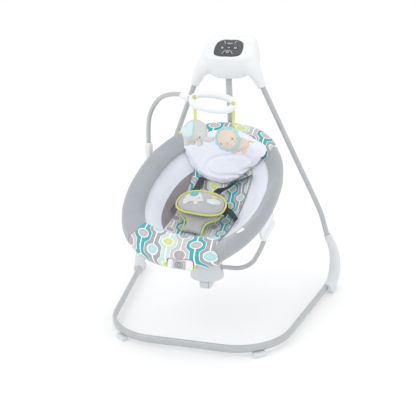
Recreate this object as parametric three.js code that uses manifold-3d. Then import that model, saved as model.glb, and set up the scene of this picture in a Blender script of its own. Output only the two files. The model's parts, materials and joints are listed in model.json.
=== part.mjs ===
// A battery baby swing: a U-shaped floor frame and two legs carry a drive housing, and a single arm
// hangs from the housing's shaft down to a hub under a reclining fabric seat with a toy bar.
// Millimetres, +Z up, -Y is the front that the baby faces, -X is "left" as seen from the front.
// The origin is on the floor, midway between the front of the leg rest and the back of the housing.
import * as THREE from "three";
import { mergeVertices } from "three/addons/utils/BufferGeometryUtils.js";
import Module from "manifold-3d";

const wasm = await Module();
wasm.setup();

// ---------------------------------------------------------------- driving dimensions
const FRAME_SHIFT_Y = 17.68; // centres the swing's length on the origin
const GAP = 0.35; // between solids that would touch
const WALL = 2.5; // moulded shells

const FLOOR_TUBE = { tall: 27, wide: 16, wall: 1.2, height: 29 };
const FLOOR_U = { frontY: -324, halfFront: 130, corner: 190, flareDeg: 8.5, backY: 236 };
const LEG = { radius: 9.5, wall: 1.2, top: [127.5, 246, 776], foot: [334, 303, 292] };
const SOCKET_DEPTH = 55; // how far a leg goes up into its socket
const HEEL_PAD = { x: 390, y: 262, tall: 34 }; // what each heel stands on
const FOOT = { x: 243, y: -296, length: 46, wide: 24, turnDeg: 38 };

const SHAFT = { z: 860, radius: 5, front: 226, back: 336 };
const PARTING_Y = 288; // where the two housing shells meet
// Horizontal sections of the housing: height, half width, front and back.
const HOUSING = [
  [803, 46, 234, 336],
  [808, 64, 229, 340],
  [818, 79, 225, 344],
  [833, 94, 222, 346],
  [856, 105, 220, 348],
  [876, 106, 221, 349],
  [884, 105, 226, 349],
  [908, 98, 262.5, 349.6],
  [931, 87, 297.5, 347.5],
  [938, 79, 308, 344],
  [943, 64, 318, 334],
];
const HOUSING_POWER = 3;
const PANEL = { halfWidth: 52, halfHeight: 41, z: 908, y: 262.6, leanDeg: 57, thick: 1.3 };
const BUTTON = { proud: 0.9, depth: 7 };
const BATTERY_DOOR = { halfWidth: 55, bottom: 876, top: 930 };
const BATTERY = { radius: 13, length: 100, y: 325, heights: [893, 921] };

const ARM = { radius: 11.5, wall: 1.5 };
const HUB = { y: -71, z: 163, height: 59, halfX: 60, halfY: 54 };
const POST_RADIUS = 15;
const CRADLE = { radius: 8, wall: 1.2, axleZ: 204 };

const SEAT = { y: -68, z: 483, tiltDeg: 25.9, turnDeg: -7 }; // turned a little on its hub
const OVAL_POWER = 2.2; // the seat is a slightly squared oval
const RING = { a: 241, b: 322, z: -14, radius: 8, wall: 1.2, splitDeg: -8.2 };
const BOWL = { a: 206, b: 250, rimZ: -12, depth: 108, power: 2.6, wall: 7 };
const PAD_THICK = 16;
const HEAD_EDGE_DEG = 45; // where the printed head panel of the rim begins
const FOOT_EDGE_DEG = 55; // where the leg rest begins, below the sides

const TOY_BAR = { radius: 8, wall: 1.2, axis: [-259, 92], clipTop: 592 };
const TOY_RING = { at: [34, -60, 789], a: 70, b: 36, wide: 22, tall: 18, rollDeg: 7, tiltDeg: 26 };

// ---------------------------------------------------------------- materials
const material = (color, roughness, metalness = 0) =>
  new THREE.MeshStandardMaterial({ color, roughness, metalness });
const paint = material(0xb9bcbe, 0.45, 0.3);
const whitePlastic = material(0xf3f4f5, 0.4);
const greyPlastic = material(0xdfe3e5, 0.5);
const darkPlastic = material(0x4a4b4e, 0.35);
const steel = material(0xc8c8c8, 0.3, 1);
const copper = material(0xb87333, 0.4, 0.8);
const greyPlush = material(0xa3a7ac, 1);
const whiteFabric = material(0xe9ecf6, 1);
const printFabric = material(0xcfe6e6, 1);
const padFabric = material(0xb5b5b9, 1);
const webbing = material(0x3a3a3c, 0.9);
const lime = material(0xd3e26b, 0.7);
const cellMaterial = material(0x30506a, 0.5, 0.4);
const boardMaterial = material(0x2e6a3e, 0.6);

// ---------------------------------------------------------------- helpers
const v3 = (x, y, z) => new THREE.Vector3(x, y, z);
const degrees = THREE.MathUtils.degToRad;
const sides = [
  ["left", -1],
  ["right", 1],
];

function put(group, name, geometry, mat) {
  const mesh = new THREE.Mesh(geometry, mat.clone());
  mesh.name = name;
  group.add(mesh);
  return mesh;
}

function solid(geometry) {
  const bare = geometry.clone();
  for (const key of Object.keys(bare.attributes)) {
    if (key !== "position") bare.deleteAttribute(key);
  }
  const merged = mergeVertices(bare, 1e-4);
  const vertProperties = merged.attributes.position.array;
  const triVerts = new Uint32Array(merged.index.array);
  return new wasm.Manifold(new wasm.Mesh({ numProp: 3, vertProperties, triVerts }));
}

function geometryOf(body) {
  const mesh = body.getMesh();
  const geometry = new THREE.BufferGeometry();
  geometry.setAttribute("position", new THREE.BufferAttribute(mesh.vertProperties, 3));
  geometry.setIndex(new THREE.BufferAttribute(mesh.triVerts, 1));
  geometry.computeVertexNormals();
  return geometry;
}

const joined = (first, ...others) => others.reduce((sum, g) => sum.add(solid(g)), solid(first));
const cutFrom = (body, ...tools) => tools.reduce((rest, g) => rest.subtract(solid(g)), body);

// Turns a geometry inside out if its faces point inwards.
function outward(geometry) {
  const p = geometry.attributes.position;
  const index = geometry.index.array;
  const [a, b, c] = [v3(), v3(), v3()];
  let volume = 0;
  for (let i = 0; i < index.length; i += 3) {
    a.fromBufferAttribute(p, index[i]);
    b.fromBufferAttribute(p, index[i + 1]);
    c.fromBufferAttribute(p, index[i + 2]);
    volume += a.dot(b.cross(c));
  }
  if (volume > 0) return geometry;
  for (let i = 0; i < index.length; i += 3) {
    [index[i + 1], index[i + 2]] = [index[i + 2], index[i + 1]];
  }
  return geometry;
}

// The triangles that close one flat loop of a loft, numbered from `first`.
function capOf(loop, first, reversed) {
  const centre = loop.reduce((sum, p) => sum.add(p), v3(0, 0, 0)).divideScalar(loop.length);
  const normal = v3(0, 0, 0);
  loop.forEach((p, i) => {
    const q = loop[(i + 1) % loop.length];
    normal.add(p.clone().sub(centre).cross(q.clone().sub(centre)));
  });
  normal.normalize();
  const across = loop[0].clone().sub(centre).projectOnPlane(normal).normalize();
  const along = normal.clone().cross(across);
  const flat = loop.map((p) => {
    const d = p.clone().sub(centre);
    return new THREE.Vector2(d.dot(across), d.dot(along));
  });
  const faces = THREE.ShapeUtils.triangulateShape(flat, []);
  return faces.flatMap(([i, j, k]) => (reversed ? [first + k, first + j, first + i] : [first + i, first + j, first + k]));
}

// A closed solid through loops with the same number of points. A ring joins its last loop to its first.
function loft(loops, ring = false) {
  const n = loops[0].length;
  const index = [];
  const bands = ring ? loops.length : loops.length - 1;
  for (let i = 0; i < bands; i++) {
    const here = i * n;
    const next = ((i + 1) % loops.length) * n;
    for (let j = 0; j < n; j++) {
      const k = (j + 1) % n;
      index.push(here + j, next + j, next + k, here + j, next + k, here + k);
    }
  }
  if (!ring) {
    index.push(...capOf(loops[0], 0, false));
    index.push(...capOf(loops.at(-1), (loops.length - 1) * n, true));
  }
  const geometry = new THREE.BufferGeometry().setFromPoints(loops.flat());
  geometry.setIndex(new THREE.BufferAttribute(new Uint32Array(index), 1));
  outward(geometry);
  geometry.computeVertexNormals();
  return geometry;
}

// A point of a squared oval (superellipse) at a parameter angle.
function onOval(a, b, angle, power = OVAL_POWER) {
  const bend = (value) => Math.sign(value) * Math.abs(value) ** (2 / power);
  return [a * bend(Math.cos(angle)), b * bend(Math.sin(angle))];
}

function ovalLoop(a, b, z, count, power, centreY = 0) {
  return Array.from({ length: count }, (_, i) => {
    const [x, y] = onOval(a, b, (2 * Math.PI * i) / count, power);
    return v3(x, centreY + y, z);
  });
}

class OvalArc extends THREE.Curve {
  constructor(a, b, z, startDeg, endDeg) {
    super();
    Object.assign(this, { a, b, z, start: degrees(startDeg), end: degrees(endDeg) });
  }
  getPoint(t, target = v3()) {
    const [x, y] = onOval(this.a, this.b, this.start + (this.end - this.start) * t);
    return target.set(x, y, this.z);
  }
}

const through = (points) => new THREE.CatmullRomCurve3(points.map((p) => v3(...p)), false, "centripetal");
const mirrored = (points, side) => points.map(([x, y, z]) => [x * side, y, z]);

function polygon(rx, ry, count) {
  return Array.from({ length: count }, (_, i) => {
    const angle = (2 * Math.PI * (i + 0.5)) / count;
    return new THREE.Vector2(rx * Math.cos(angle), ry * Math.sin(angle));
  });
}

// A tube along a curve, hollow when it has a wall. The section's x lies upright on a level path.
function tube(curve, { rx, ry = rx, wall = 0, count = 10, steps = 12 }) {
  const shape = new THREE.Shape(polygon(rx, ry, count));
  if (wall > 0) shape.holes.push(new THREE.Path(polygon(rx - wall, ry - wall, count)));
  return new THREE.ExtrudeGeometry(shape, { steps, extrudePath: curve, bevelEnabled: false });
}

const rod = (from, to, radius, count = 16) =>
  tube(new THREE.LineCurve3(v3(...from), v3(...to)), { rx: radius, count, steps: 1 });

// A solid swept along a curve with a round section whose radii change along it.
function taperedSweep(curve, steps, radiiAt, count = 12) {
  const frames = curve.computeFrenetFrames(steps, false);
  const loops = curve.getSpacedPoints(steps).map((point, i) => {
    const [r, s] = radiiAt(i / steps);
    return polygon(r, s, count).map((q) =>
      point.clone().addScaledVector(frames.normals[i], q.x).addScaledVector(frames.binormals[i], q.y),
    );
  });
  return loft(loops);
}

// A flat strap through points; `across` is the direction of its width at every point.
function strap(points, across, width, thick) {
  const curve = through(points);
  const count = 8;
  const side = v3(...across).normalize();
  const loops = curve.getSpacedPoints(count).map((point, i) => {
    const tangent = curve.getTangentAt(i / count);
    const wide = side.clone().projectOnPlane(tangent).normalize();
    const up = wide.clone().cross(tangent);
    const corner = (w, t) => point.clone().addScaledVector(wide, (w * width) / 2).addScaledVector(up, (t * thick) / 2);
    return [corner(-1, -1), corner(1, -1), corner(1, 1), corner(-1, 1)];
  });
  return loft(loops);
}

const block = (x, y, z, at = [0, 0, 0]) => new THREE.BoxGeometry(x, y, z).translate(...at);

function roundedShape(width, height, radius) {
  const [w, h] = [width / 2 - radius, height / 2 - radius];
  const shape = new THREE.Shape();
  shape.absarc(w, h, radius, 0, Math.PI / 2, false);
  shape.absarc(-w, h, radius, Math.PI / 2, Math.PI, false);
  shape.absarc(-w, -h, radius, Math.PI, 1.5 * Math.PI, false);
  shape.absarc(w, -h, radius, 1.5 * Math.PI, 2 * Math.PI, false);
  return shape;
}

// A rounded plate, centred, its thickness along z.
function plate(width, height, thick, radius) {
  const shape = roundedShape(width, height, radius);
  const geometry = new THREE.ExtrudeGeometry(shape, { depth: thick, bevelEnabled: false, curveSegments: 2 });
  return geometry.translate(0, 0, -thick / 2);
}

// A solid of revolution about z from [radius, height] pairs that start and end on the axis or close.
function turned(profile, count = 24) {
  const points = profile.map(([r, h]) => new THREE.Vector2(r, h));
  return outward(new THREE.LatheGeometry(points, count).rotateX(Math.PI / 2));
}

// A plump pad: a squared-oval outline, thickest in the middle, bent onto z = lift(x, y).
function pad(outline, thick, lift, { rows = 5, count = 28 } = {}) {
  const loops = [];
  for (let i = 0; i <= 2 * rows; i++) {
    const angle = -Math.PI / 2 + (Math.PI * i) / (2 * rows);
    const inset = Math.max(0.04, Math.cos(angle) ** 0.6);
    loops.push(
      outline(count).map((p) => {
        const [x, y] = [p.cx + (p.x - p.cx) * inset, p.cy + (p.y - p.cy) * inset];
        return v3(x, y, lift(x, y) + (Math.sin(angle) * thick) / 2);
      }),
    );
  }
  return loft(loops);
}

// ---------------------------------------------------------------- floor frame and legs
function floorPath() {
  const { frontY, halfFront, corner, flareDeg, backY } = FLOOR_U;
  const half = [[0, frontY, FLOOR_TUBE.height]];
  const arcSteps = 7;
  for (let i = 0; i <= arcSteps; i++) {
    const angle = degrees(-90 + ((90 - flareDeg) * i) / arcSteps);
    const [x, y] = [halfFront + corner * Math.cos(angle), frontY + corner + corner * Math.sin(angle)];
    half.push([x, y, FLOOR_TUBE.height]);
  }
  const [cornerX, cornerY] = half.at(-1);
  const sideSteps = 4;
  for (let i = 1; i <= sideSteps; i++) {
    const run = ((backY - cornerY) * i) / sideSteps;
    half.push([cornerX + run * Math.tan(degrees(flareDeg)), cornerY + run, FLOOR_TUBE.height]);
  }
  return [...mirrored(half.slice(1), -1).reverse(), ...half];
}

function floorTube(extra = 0, wall = FLOOR_TUBE.wall) {
  const [rx, ry] = [FLOOR_TUBE.tall / 2 + extra, FLOOR_TUBE.wide / 2 + extra];
  return tube(through(floorPath()), { rx, ry, wall, count: 8, steps: 20 });
}

// A leg runs straight from its socket, then bends a little upright as it enters the heel.
function legTube(side, extra = 0, wall = LEG.wall) {
  const top = v3(...LEG.top);
  const foot = v3(...LEG.foot);
  const up = top.clone().sub(foot).normalize();
  const start = top.clone().addScaledVector(up, SOCKET_DEPTH);
  const points = [start.toArray(), LEG.top, foot.toArray(), [346, 306, 250], [355, 309, 214], [362, 310, 186]];
  return tube(through(mirrored(points, side)), { rx: LEG.radius + extra, wall, count: 8, steps: 6 });
}

function heelConnector(side) {
  const path = [
    [359, 309.5, 204],
    [366, 310, 188],
    [375, 310, 168],
    [386, 308, 138],
    [392, 300, 98],
    [393, 282, 60],
    [389, 252, 37],
    [379, 208, 29],
  ];
  const bulge = (t) => 13 + 4 * t + 5 * Math.sin(Math.PI * t ** 1.3);
  const body = taperedSweep(through(mirrored(path, side)), 10, (t) => [bulge(t) + 1.5, bulge(t)], 10);
  const heel = plate(28, 76, HEEL_PAD.tall, 12).translate(side * HEEL_PAD.x, HEEL_PAD.y, HEEL_PAD.tall / 2);
  const under = block(900, 900, 40, [0, 0, -20]);
  return geometryOf(cutFrom(joined(body, heel), legTube(side, GAP, 0), floorTube(GAP, 0), under));
}

function makeStand(part) {
  put(part, "base_tube", floorTube(), paint);
  for (const [name, side] of sides) {
    put(part, `${name}_leg_tube`, legTube(side), paint);
    put(part, `${name}_heel_connector`, heelConnector(side), greyPlastic);
    const underTube = FLOOR_TUBE.height - FLOOR_TUBE.tall / 2 - GAP;
    const foot = put(part, `${name}_front_foot`, plate(FOOT.length, FOOT.wide, underTube, 8), greyPlastic);
    foot.position.set(side * FOOT.x, FOOT.y, underTube / 2);
    foot.rotation.z = degrees(side * FOOT.turnDeg);
  }
}

// ---------------------------------------------------------------- drive housing
// The housing's outer form moved in by `inset` (out when negative).
function housingForm(inset = 0) {
  const loops = HOUSING.map(([z, width, front, back], i) => {
    const depth = (back - front) / 2 - inset;
    const lift = i === 0 ? inset : i >= HOUSING.length - 2 ? -inset : 0;
    return ovalLoop(width - inset, depth, z + lift, 20, HOUSING_POWER, (front + back) / 2);
  });
  return loft(loops);
}

// Stations up a horn from the end of its leg socket: distance, shift inwards, shift back, half width, half depth.
const HORN = [
  [0, 0, 0, 16.5, 16.5],
  [22, 1.5, 0, 19, 18],
  [45, 3, 2, 22, 20],
  [70, 9, 8, 31, 24],
  [95, 16, 18, 36, 28],
  [125, 18, 35, 32, 26],
  [150, 24, 55, 16, 14],
];

function legAxis(side) {
  const top = v3(side * LEG.top[0], LEG.top[1], LEG.top[2]);
  const foot = v3(side * LEG.foot[0], LEG.foot[1], LEG.foot[2]);
  return { top, up: top.clone().sub(foot).normalize() };
}

// Each leg's socket is a horn that widens upwards and runs into the housing's side.
function horn(side) {
  const { top, up } = legAxis(side);
  const outward = v3(side, 0, 0).projectOnPlane(up).normalize();
  const loops = HORN.map(([along, inwards, back, halfWidth, halfDepth]) => {
    const centre = top.clone().addScaledVector(up, along).addScaledVector(outward, -inwards).add(v3(0, back, 0));
    const deep = outward.clone().cross(up);
    return Array.from({ length: 14 }, (_, i) => {
      const [a, b] = onOval(halfWidth, halfDepth, (2 * Math.PI * i) / 14);
      return centre.clone().addScaledVector(outward, a).addScaledVector(deep, b);
    });
  });
  return loft(loops);
}

// The boss inside the housing that holds a leg's upper end.
function legBoss(side) {
  const { top, up } = legAxis(side);
  return rod(top.toArray(), top.clone().addScaledVector(up, SOCKET_DEPTH + 4).toArray(), 13, 14);
}

const PANEL_LEAN = degrees(PANEL.leanDeg);

// Stands a piece made flat, facing +z, on the sloping panel at (x, up) with its face `out` proud.
function ontoPanel(geometry, x, up, out) {
  return geometry
    .translate(x, up, out)
    .rotateX(Math.PI / 2 - PANEL_LEAN)
    .translate(0, PANEL.y, PANEL.z);
}

// The panel's outline: wider above the middle than below, with round corners.
function panelShape(grow = 0) {
  const w = PANEL.halfWidth + grow;
  const h = PANEL.halfHeight + grow;
  const shape = new THREE.Shape();
  shape.moveTo(-w * 0.5, h);
  shape.lineTo(w * 0.5, h);
  shape.bezierCurveTo(w * 0.86, h, w * 0.98, h * 0.5, w, -h * 0.1);
  shape.bezierCurveTo(w * 1.01, -h * 0.7, w * 0.85, -h, w * 0.45, -h);
  shape.lineTo(-w * 0.45, -h);
  shape.bezierCurveTo(-w * 0.85, -h, -w * 1.01, -h * 0.7, -w, -h * 0.1);
  shape.bezierCurveTo(-w * 0.98, h * 0.5, -w * 0.86, h, -w * 0.5, h);
  return shape;
}

function panelPrism(grow) {
  const depth = 60;
  const prism = new THREE.ExtrudeGeometry(panelShape(grow), { depth, bevelEnabled: false, curveSegments: 3 });
  return ontoPanel(prism, 0, 0, -depth / 2);
}

const PANEL_KEYS = [
  ["swing_speed_button", 0, 21, 15, 5.5],
  ["timer_button", -24, 0, 7, 5],
  ["melody_button", 0, 0, 7, 5],
  ["volume_button", 24, 0, 7, 5],
  ["power_button", 0, -21, 12, 6],
];

function keyPrism([, x, up, halfWidth, halfHeight], grow, from, to) {
  const depth = to - from;
  const key = plate(2 * (halfWidth + grow), 2 * (halfHeight + grow), depth, halfHeight + grow - 0.6);
  return ontoPanel(key, x, up, (from + to) / 2);
}

const keyHoles = () => PANEL_KEYS.map((key) => keyPrism(key, GAP, -11, 11));

// How far the panel's face stands off the flat plane that the keys are set out on.
const PANEL_FACE = PANEL.thick + GAP;

const SCREW_SPOTS = [
  [-64, 826],
  [64, 826],
];

const SCREW = { head: 3.6, shank: 1.6, back: 341, length: 16 };

function screw(x, z, grow = 0) {
  const [head, shank] = [SCREW.head + grow, SCREW.shank + grow];
  const profile = [
    [0, -grow],
    [head, -grow],
    [head, 2.6 + grow],
    [shank, 2.6 + grow],
    [shank, SCREW.length + grow],
    [0, SCREW.length + grow],
  ];
  return turned(profile, 10).rotateX(Math.PI / 2).translate(x, SCREW.back, z);
}

const bearingSpots = [
  ["front_bearing", 226],
  ["rear_bearing", 318],
];
const BEARING = { outer: 11, length: 10 };

function bearing(y) {
  const bore = SHAFT.radius + 0.12;
  const profile = [
    [bore, 0],
    [BEARING.outer, 0],
    [BEARING.outer, BEARING.length],
    [bore, BEARING.length],
    [bore, 0],
  ];
  return turned(profile, 16).rotateX(-Math.PI / 2).translate(0, y, SHAFT.z);
}

function housingShells() {
  const outer = joined(housingForm(), horn(-1), horn(1));
  const screwPosts = SCREW_SPOTS.map(([x, z]) => rod([x, 300, z], [x, SCREW.back + 6, z], 5.5, 10));
  const posts = [
    rod([0, 221, SHAFT.z], [0, 236, SHAFT.z], 14, 20),
    rod([0, 347, SHAFT.z], [0, 318, SHAFT.z], 14, 20),
    rod([0, 346, 825], [0, 302, 825], 7, 12),
  ];
  const hollow = cutFrom(solid(housingForm(WALL)), legBoss(-1), legBoss(1), ...posts, ...screwPosts);
  const tools = [
    block(60, 44, 20, [0, 256, 802]),
    legTube(-1, GAP, 0),
    legTube(1, GAP, 0),
    rod([0, 226 - GAP, SHAFT.z], [0, 328 + GAP, SHAFT.z], BEARING.outer + GAP, 20),
    rod([0, 300, SHAFT.z], [0, 342, SHAFT.z], SHAFT.radius + 1),
    ...keyHoles(),
    ...SCREW_SPOTS.map(([x, z]) => screw(x, z, GAP)),
    block(2 * BATTERY_DOOR.halfWidth, 40, BATTERY_DOOR.top - BATTERY_DOOR.bottom, [
      0,
      356,
      (BATTERY_DOOR.top + BATTERY_DOOR.bottom) / 2,
    ]),
  ];
  const whole = cutFrom(outer.subtract(hollow), ...tools);
  const size = 600;
  const half = (sign) => block(size, size, size, [0, PARTING_Y + (sign * (size + GAP)) / 2, SHAFT.z]);
  return [whole.intersect(solid(half(-1))), whole.intersect(solid(half(1)))];
}

function batteryDoor() {
  const wall = solid(housingForm()).subtract(solid(housingForm(WALL)));
  const height = BATTERY_DOOR.top - BATTERY_DOOR.bottom - 2 * GAP;
  const middle = (BATTERY_DOOR.top + BATTERY_DOOR.bottom) / 2;
  return wall.intersect(solid(block(2 * (BATTERY_DOOR.halfWidth - GAP), 40, height, [0, 356, middle])));
}

// Two cells end to end, along x.
function batteryPair(z) {
  const half = BATTERY.length / 2;
  const r = BATTERY.radius;
  const profile = [
    [0, -half],
    [r, -half],
    [r, -1.5],
    [4, -1.5],
    [4, 0],
    [r, 0],
    [r, half - 1.5],
    [4, half - 1.5],
    [4, half],
    [0, half],
  ];
  return turned(profile, 10).rotateY(Math.PI / 2).translate(0, BATTERY.y, z);
}

// Both pairs, joined at one end by their contact strip.
function batterySet() {
  const [low, high] = BATTERY.heights;
  const strip = block(1.6, 12, high - low + 10, [BATTERY.length / 2, BATTERY.y, (low + high) / 2]);
  return geometryOf(joined(batteryPair(low), batteryPair(high), strip));
}

function makeHousing(part) {
  const [front, rear] = housingShells();
  put(part, "housing_front_shell", geometryOf(front), whitePlastic);
  put(part, "housing_rear_shell", geometryOf(rear), whitePlastic);
  const skin = solid(housingForm(-PANEL_FACE)).subtract(solid(housingForm(-GAP)));
  const panel = cutFrom(skin.intersect(solid(panelPrism(0))), block(600, 200, 400, [0, 390, 914]), ...keyHoles());
  put(part, "control_panel", geometryOf(panel), darkPlastic);
  for (const key of PANEL_KEYS) {
    put(part, key[0], keyPrism(key, 0, -BUTTON.depth, PANEL_FACE + BUTTON.proud), greyPlastic);
  }
  put(part, "circuit_board", ontoPanel(plate(86, 54, 1.6, 4), 0, 0, -14), boardMaterial);
  const coilProfile = [
    [7.6, 0],
    [17, 0],
    [17, 12],
    [7.6, 12],
    [7.6, 0],
  ];
  put(part, "drive_coil", turned(coilProfile, 16).rotateX(-Math.PI / 2).translate(0, 304, 825), copper);
  for (const [name, y] of bearingSpots) put(part, name, bearing(y), steel);
  put(part, "battery_set", batterySet(), cellMaterial);
  put(part, "battery_door", geometryOf(batteryDoor()), whitePlastic);
  SCREW_SPOTS.forEach(([x, z], i) => put(part, `housing_screw_${i + 1}`, screw(x, z), steel));
}

// ---------------------------------------------------------------- swing arm and hub
const ARM_PATH = [
  [0, 256, 846],
  [0, 256, 780],
  [0, 268, 650],
  [0, 269, 500],
  [0, 262, 400],
  [0, 228, 290],
  [0, 165, 200],
  [0, 90, 158],
  [0, 20, 151],
  [0, -48, 151],
];

const armTube = (extra = 0, wall = ARM.wall) => tube(through(ARM_PATH), { rx: ARM.radius + extra, wall, count: 8, steps: 17 });

function swingHub() {
  const body = joined(
    plate(40, 60, 34, 12).rotateX(Math.PI / 2).translate(0, 258, 843),
    block(14, 20, 18, [0, 275, 826]),
  );
  const bore = rod([0, 220, SHAFT.z], [0, 300, SHAFT.z], SHAFT.radius + 0.12, 24);
  return geometryOf(cutFrom(body, bore, armTube(GAP, 0), rod([0, 256, 840], [0, 256, 846 + GAP], ARM.radius + GAP, 10)));
}

// The socket under the hub takes the arm's end and carries the upright post that the hub turns on.
function armSocket() {
  const base = plate(42, 68, 36, 8).translate(0, HUB.y, 145);
  const post = rod([0, HUB.y, 150], [0, HUB.y, 184], POST_RADIUS, 24);
  const releaseSlot = block(30, 12, 26, [0, HUB.y - 34, 145]);
  return geometryOf(cutFrom(joined(base, post), armTube(GAP, 0), releaseSlot));
}

function seatHub() {
  const { height, halfX } = HUB;
  const profile = [
    [0, height],
    [34, height - 1],
    [50, height - 6],
    [56, height - 22],
    [halfX, 12],
    [halfX - 2, 3],
    [halfX - 5, 2],
    [halfX - 6, 14],
    [46, 24],
    [POST_RADIUS + 4, 24],
    [POST_RADIUS + 4, 7],
    [POST_RADIUS + GAP, 7],
    [POST_RADIUS + GAP, 22],
    [0, 22],
  ];
  const form = turned(profile, 16).scale(1, HUB.halfY / HUB.halfX, 1).translate(0, HUB.y, HUB.z);
  const post = rod([0, HUB.y, HUB.z - 20], [0, HUB.y, HUB.z + 22], POST_RADIUS + 0.3, 24);
  const axle = rod([-100, HUB.y, CRADLE.axleZ], [100, HUB.y, CRADLE.axleZ], CRADLE.radius + 0.5);
  const leverSlot = block(26, 14, 20, [0, HUB.y + 50, HUB.z + 12]);
  return geometryOf(cutFrom(solid(form), post, axle, leverSlot));
}

function makeArm(part) {
  put(part, "pivot_shaft", rod([0, SHAFT.front, SHAFT.z], [0, SHAFT.back, SHAFT.z], SHAFT.radius), steel);
  put(part, "swing_hub", swingHub(), greyPlastic);
  put(part, "drive_magnet", plate(20, 20, 10, 3).rotateX(Math.PI / 2).translate(0, 291, 826), steel);
  put(part, "swing_arm_tube", armTube(), paint);
  put(part, "arm_socket", armSocket(), greyPlastic);
  const release = plate(28, 24, 10, 4).rotateX(Math.PI / 2).translate(0, HUB.y - 34.5, 145);
  put(part, "swivel_release", release, greyPlastic);
  put(part, "seat_hub", seatHub(), greyPlastic);
  const lever = plate(24, 17, 12, 4).rotateX(Math.PI / 2).translate(0, HUB.y + 50.5, HUB.z + 12.5);
  put(part, "recline_lever", lever, greyPlastic);
}

// ---------------------------------------------------------------- seat frame
const seatFrame = new THREE.Group();
seatFrame.position.set(0, SEAT.y, SEAT.z);
seatFrame.rotation.set(degrees(SEAT.tiltDeg), 0, degrees(SEAT.turnDeg));
seatFrame.updateMatrixWorld(true);
const toWorld = (geometry) => geometry.applyMatrix4(seatFrame.matrixWorld);
const toSeat = (geometry) => geometry.applyMatrix4(seatFrame.matrixWorld.clone().invert());

function ringTube(startDeg, endDeg, extra = 0, wall = RING.wall, steps = 22) {
  const arc = new OvalArc(RING.a, RING.b, RING.z, startDeg, endDeg);
  return tube(arc, { rx: RING.radius + extra, wall, count: 8, steps });
}

const cradlePath = (side) => [
  [side * 20, HUB.y, CRADLE.axleZ],
  [side * 70, HUB.y, CRADLE.axleZ],
  [side * 118, HUB.y, 208],
  [side * 150, HUB.y, 222],
  [side * 175, -72, 243],
  [side * 198, -75, 280],
  [side * 217, -79, 320],
  [side * 231, -85, 360],
  [side * 237, -88, 384],
];

// The cradle's uprights lean round with the seat, which stands a little turned on the hub.
function turnedWithSeat([x, y, z]) {
  const share = THREE.MathUtils.clamp((Math.abs(x) - 70) / 130, 0, 1);
  const angle = degrees(SEAT.turnDeg) * share;
  const [cos, sin] = [Math.cos(angle), Math.sin(angle)];
  return [x * cos - (y - HUB.y) * sin - 3 * share, HUB.y + x * sin + (y - HUB.y) * cos, z];
}

function cradleTube(extra = 0, wall = CRADLE.wall) {
  const path = [...cradlePath(-1).reverse(), ...cradlePath(1)].map(turnedWithSeat);
  return tube(through(path), { rx: CRADLE.radius + extra, wall, count: 8, steps: 22 });
}

// A side bracket wraps the joint of the two ring tubes and takes the end of the cradle tube.
function sideBracket(side) {
  const turn = degrees(-5.3 * side);
  const upper = plate(16, 96, 62, 7).rotateZ(turn).translate(side * 235.5, -55, -36);
  const lower = plate(24, 88, 29, 10).rotateZ(turn).translate(side * 238, -57, -80.5);
  const tubes = [ringTube(-30, 20, 3 * GAP, 0, 10), ringTube(160, 210, 3 * GAP, 0, 10)];
  return geometryOf(cutFrom(joined(upper, lower), ...tubes, toSeat(cradleTube(GAP, 0))));
}

function toyBarClip() {
  const [x, y] = TOY_BAR.axis;
  const height = 112;
  const body = plate(24, 30, height, 9).translate(x, y, TOY_BAR.clipTop - height / 2);
  const foot = toWorld(block(64, 24, 7, [-240, 112, -71]));
  const post = toWorld(block(16, 24, 56, [-222, 112, -44]));
  const bore = rod([x, y, TOY_BAR.clipTop - 34], [x, y, TOY_BAR.clipTop + 20], TOY_BAR.radius + 0.5);
  return geometryOf(cutFrom(joined(body, foot, post), bore, toWorld(ringTube(130, 180, 5 * GAP, 0, 8))));
}

// ---------------------------------------------------------------- seat soft goods
// Rails of the padded rim, from its inner edge over the crest and down outside, then back inside.
const RIM = [
  [208, 252, -3],
  [222, 276, 14],
  [241, 304, 26],
  [256, 326, 23],
  [266, 338, 3],
  [265, 336, -18],
  [257, 325, -35],
  [252, 319, -32],
  [259, 331, -20],
  [260, 332.5, 0],
  [251, 321, 17],
  [241, 302, 18],
  [222, 274, 4],
  [211, 256, -8],
];

const rimLoop = (angle) =>
  RIM.map(([a, b, z]) => {
    const [x, y] = onOval(a, b, angle);
    return v3(x, y, z);
  });

function rimPanel(startDeg, endDeg, steps) {
  const loops = [];
  for (let i = 0; i <= steps; i++) loops.push(rimLoop(degrees(startDeg + ((endDeg - startDeg) * i) / steps)));
  return loft(loops);
}

// The bowl's inner face at (x, y).
function bowlZ(x, y) {
  const reach = (Math.abs(x / BOWL.a) ** OVAL_POWER + Math.abs(y / BOWL.b) ** OVAL_POWER) ** (1 / OVAL_POWER);
  return BOWL.rimZ - BOWL.depth * (1 - Math.min(1, reach) ** BOWL.power);
}

function bowl() {
  const rings = [1, 0.9, 0.78, 0.62, 0.42, 0.2];
  const count = 24;
  const layer = (fraction, drop, grow) => {
    const [a, b] = [BOWL.a * fraction + grow, BOWL.b * fraction + grow];
    const z = BOWL.rimZ - BOWL.depth * (1 - fraction ** BOWL.power) - drop;
    return ovalLoop(a, b, z, count, OVAL_POWER);
  };
  const outside = rings.map((f) => layer(f, f === 1 ? 2 : BOWL.wall * (1 - f / 3), BOWL.wall * f));
  const inside = rings.map((f) => layer(f, 0, 0));
  return loft([...outside.reverse(), ...inside]);
}

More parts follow.
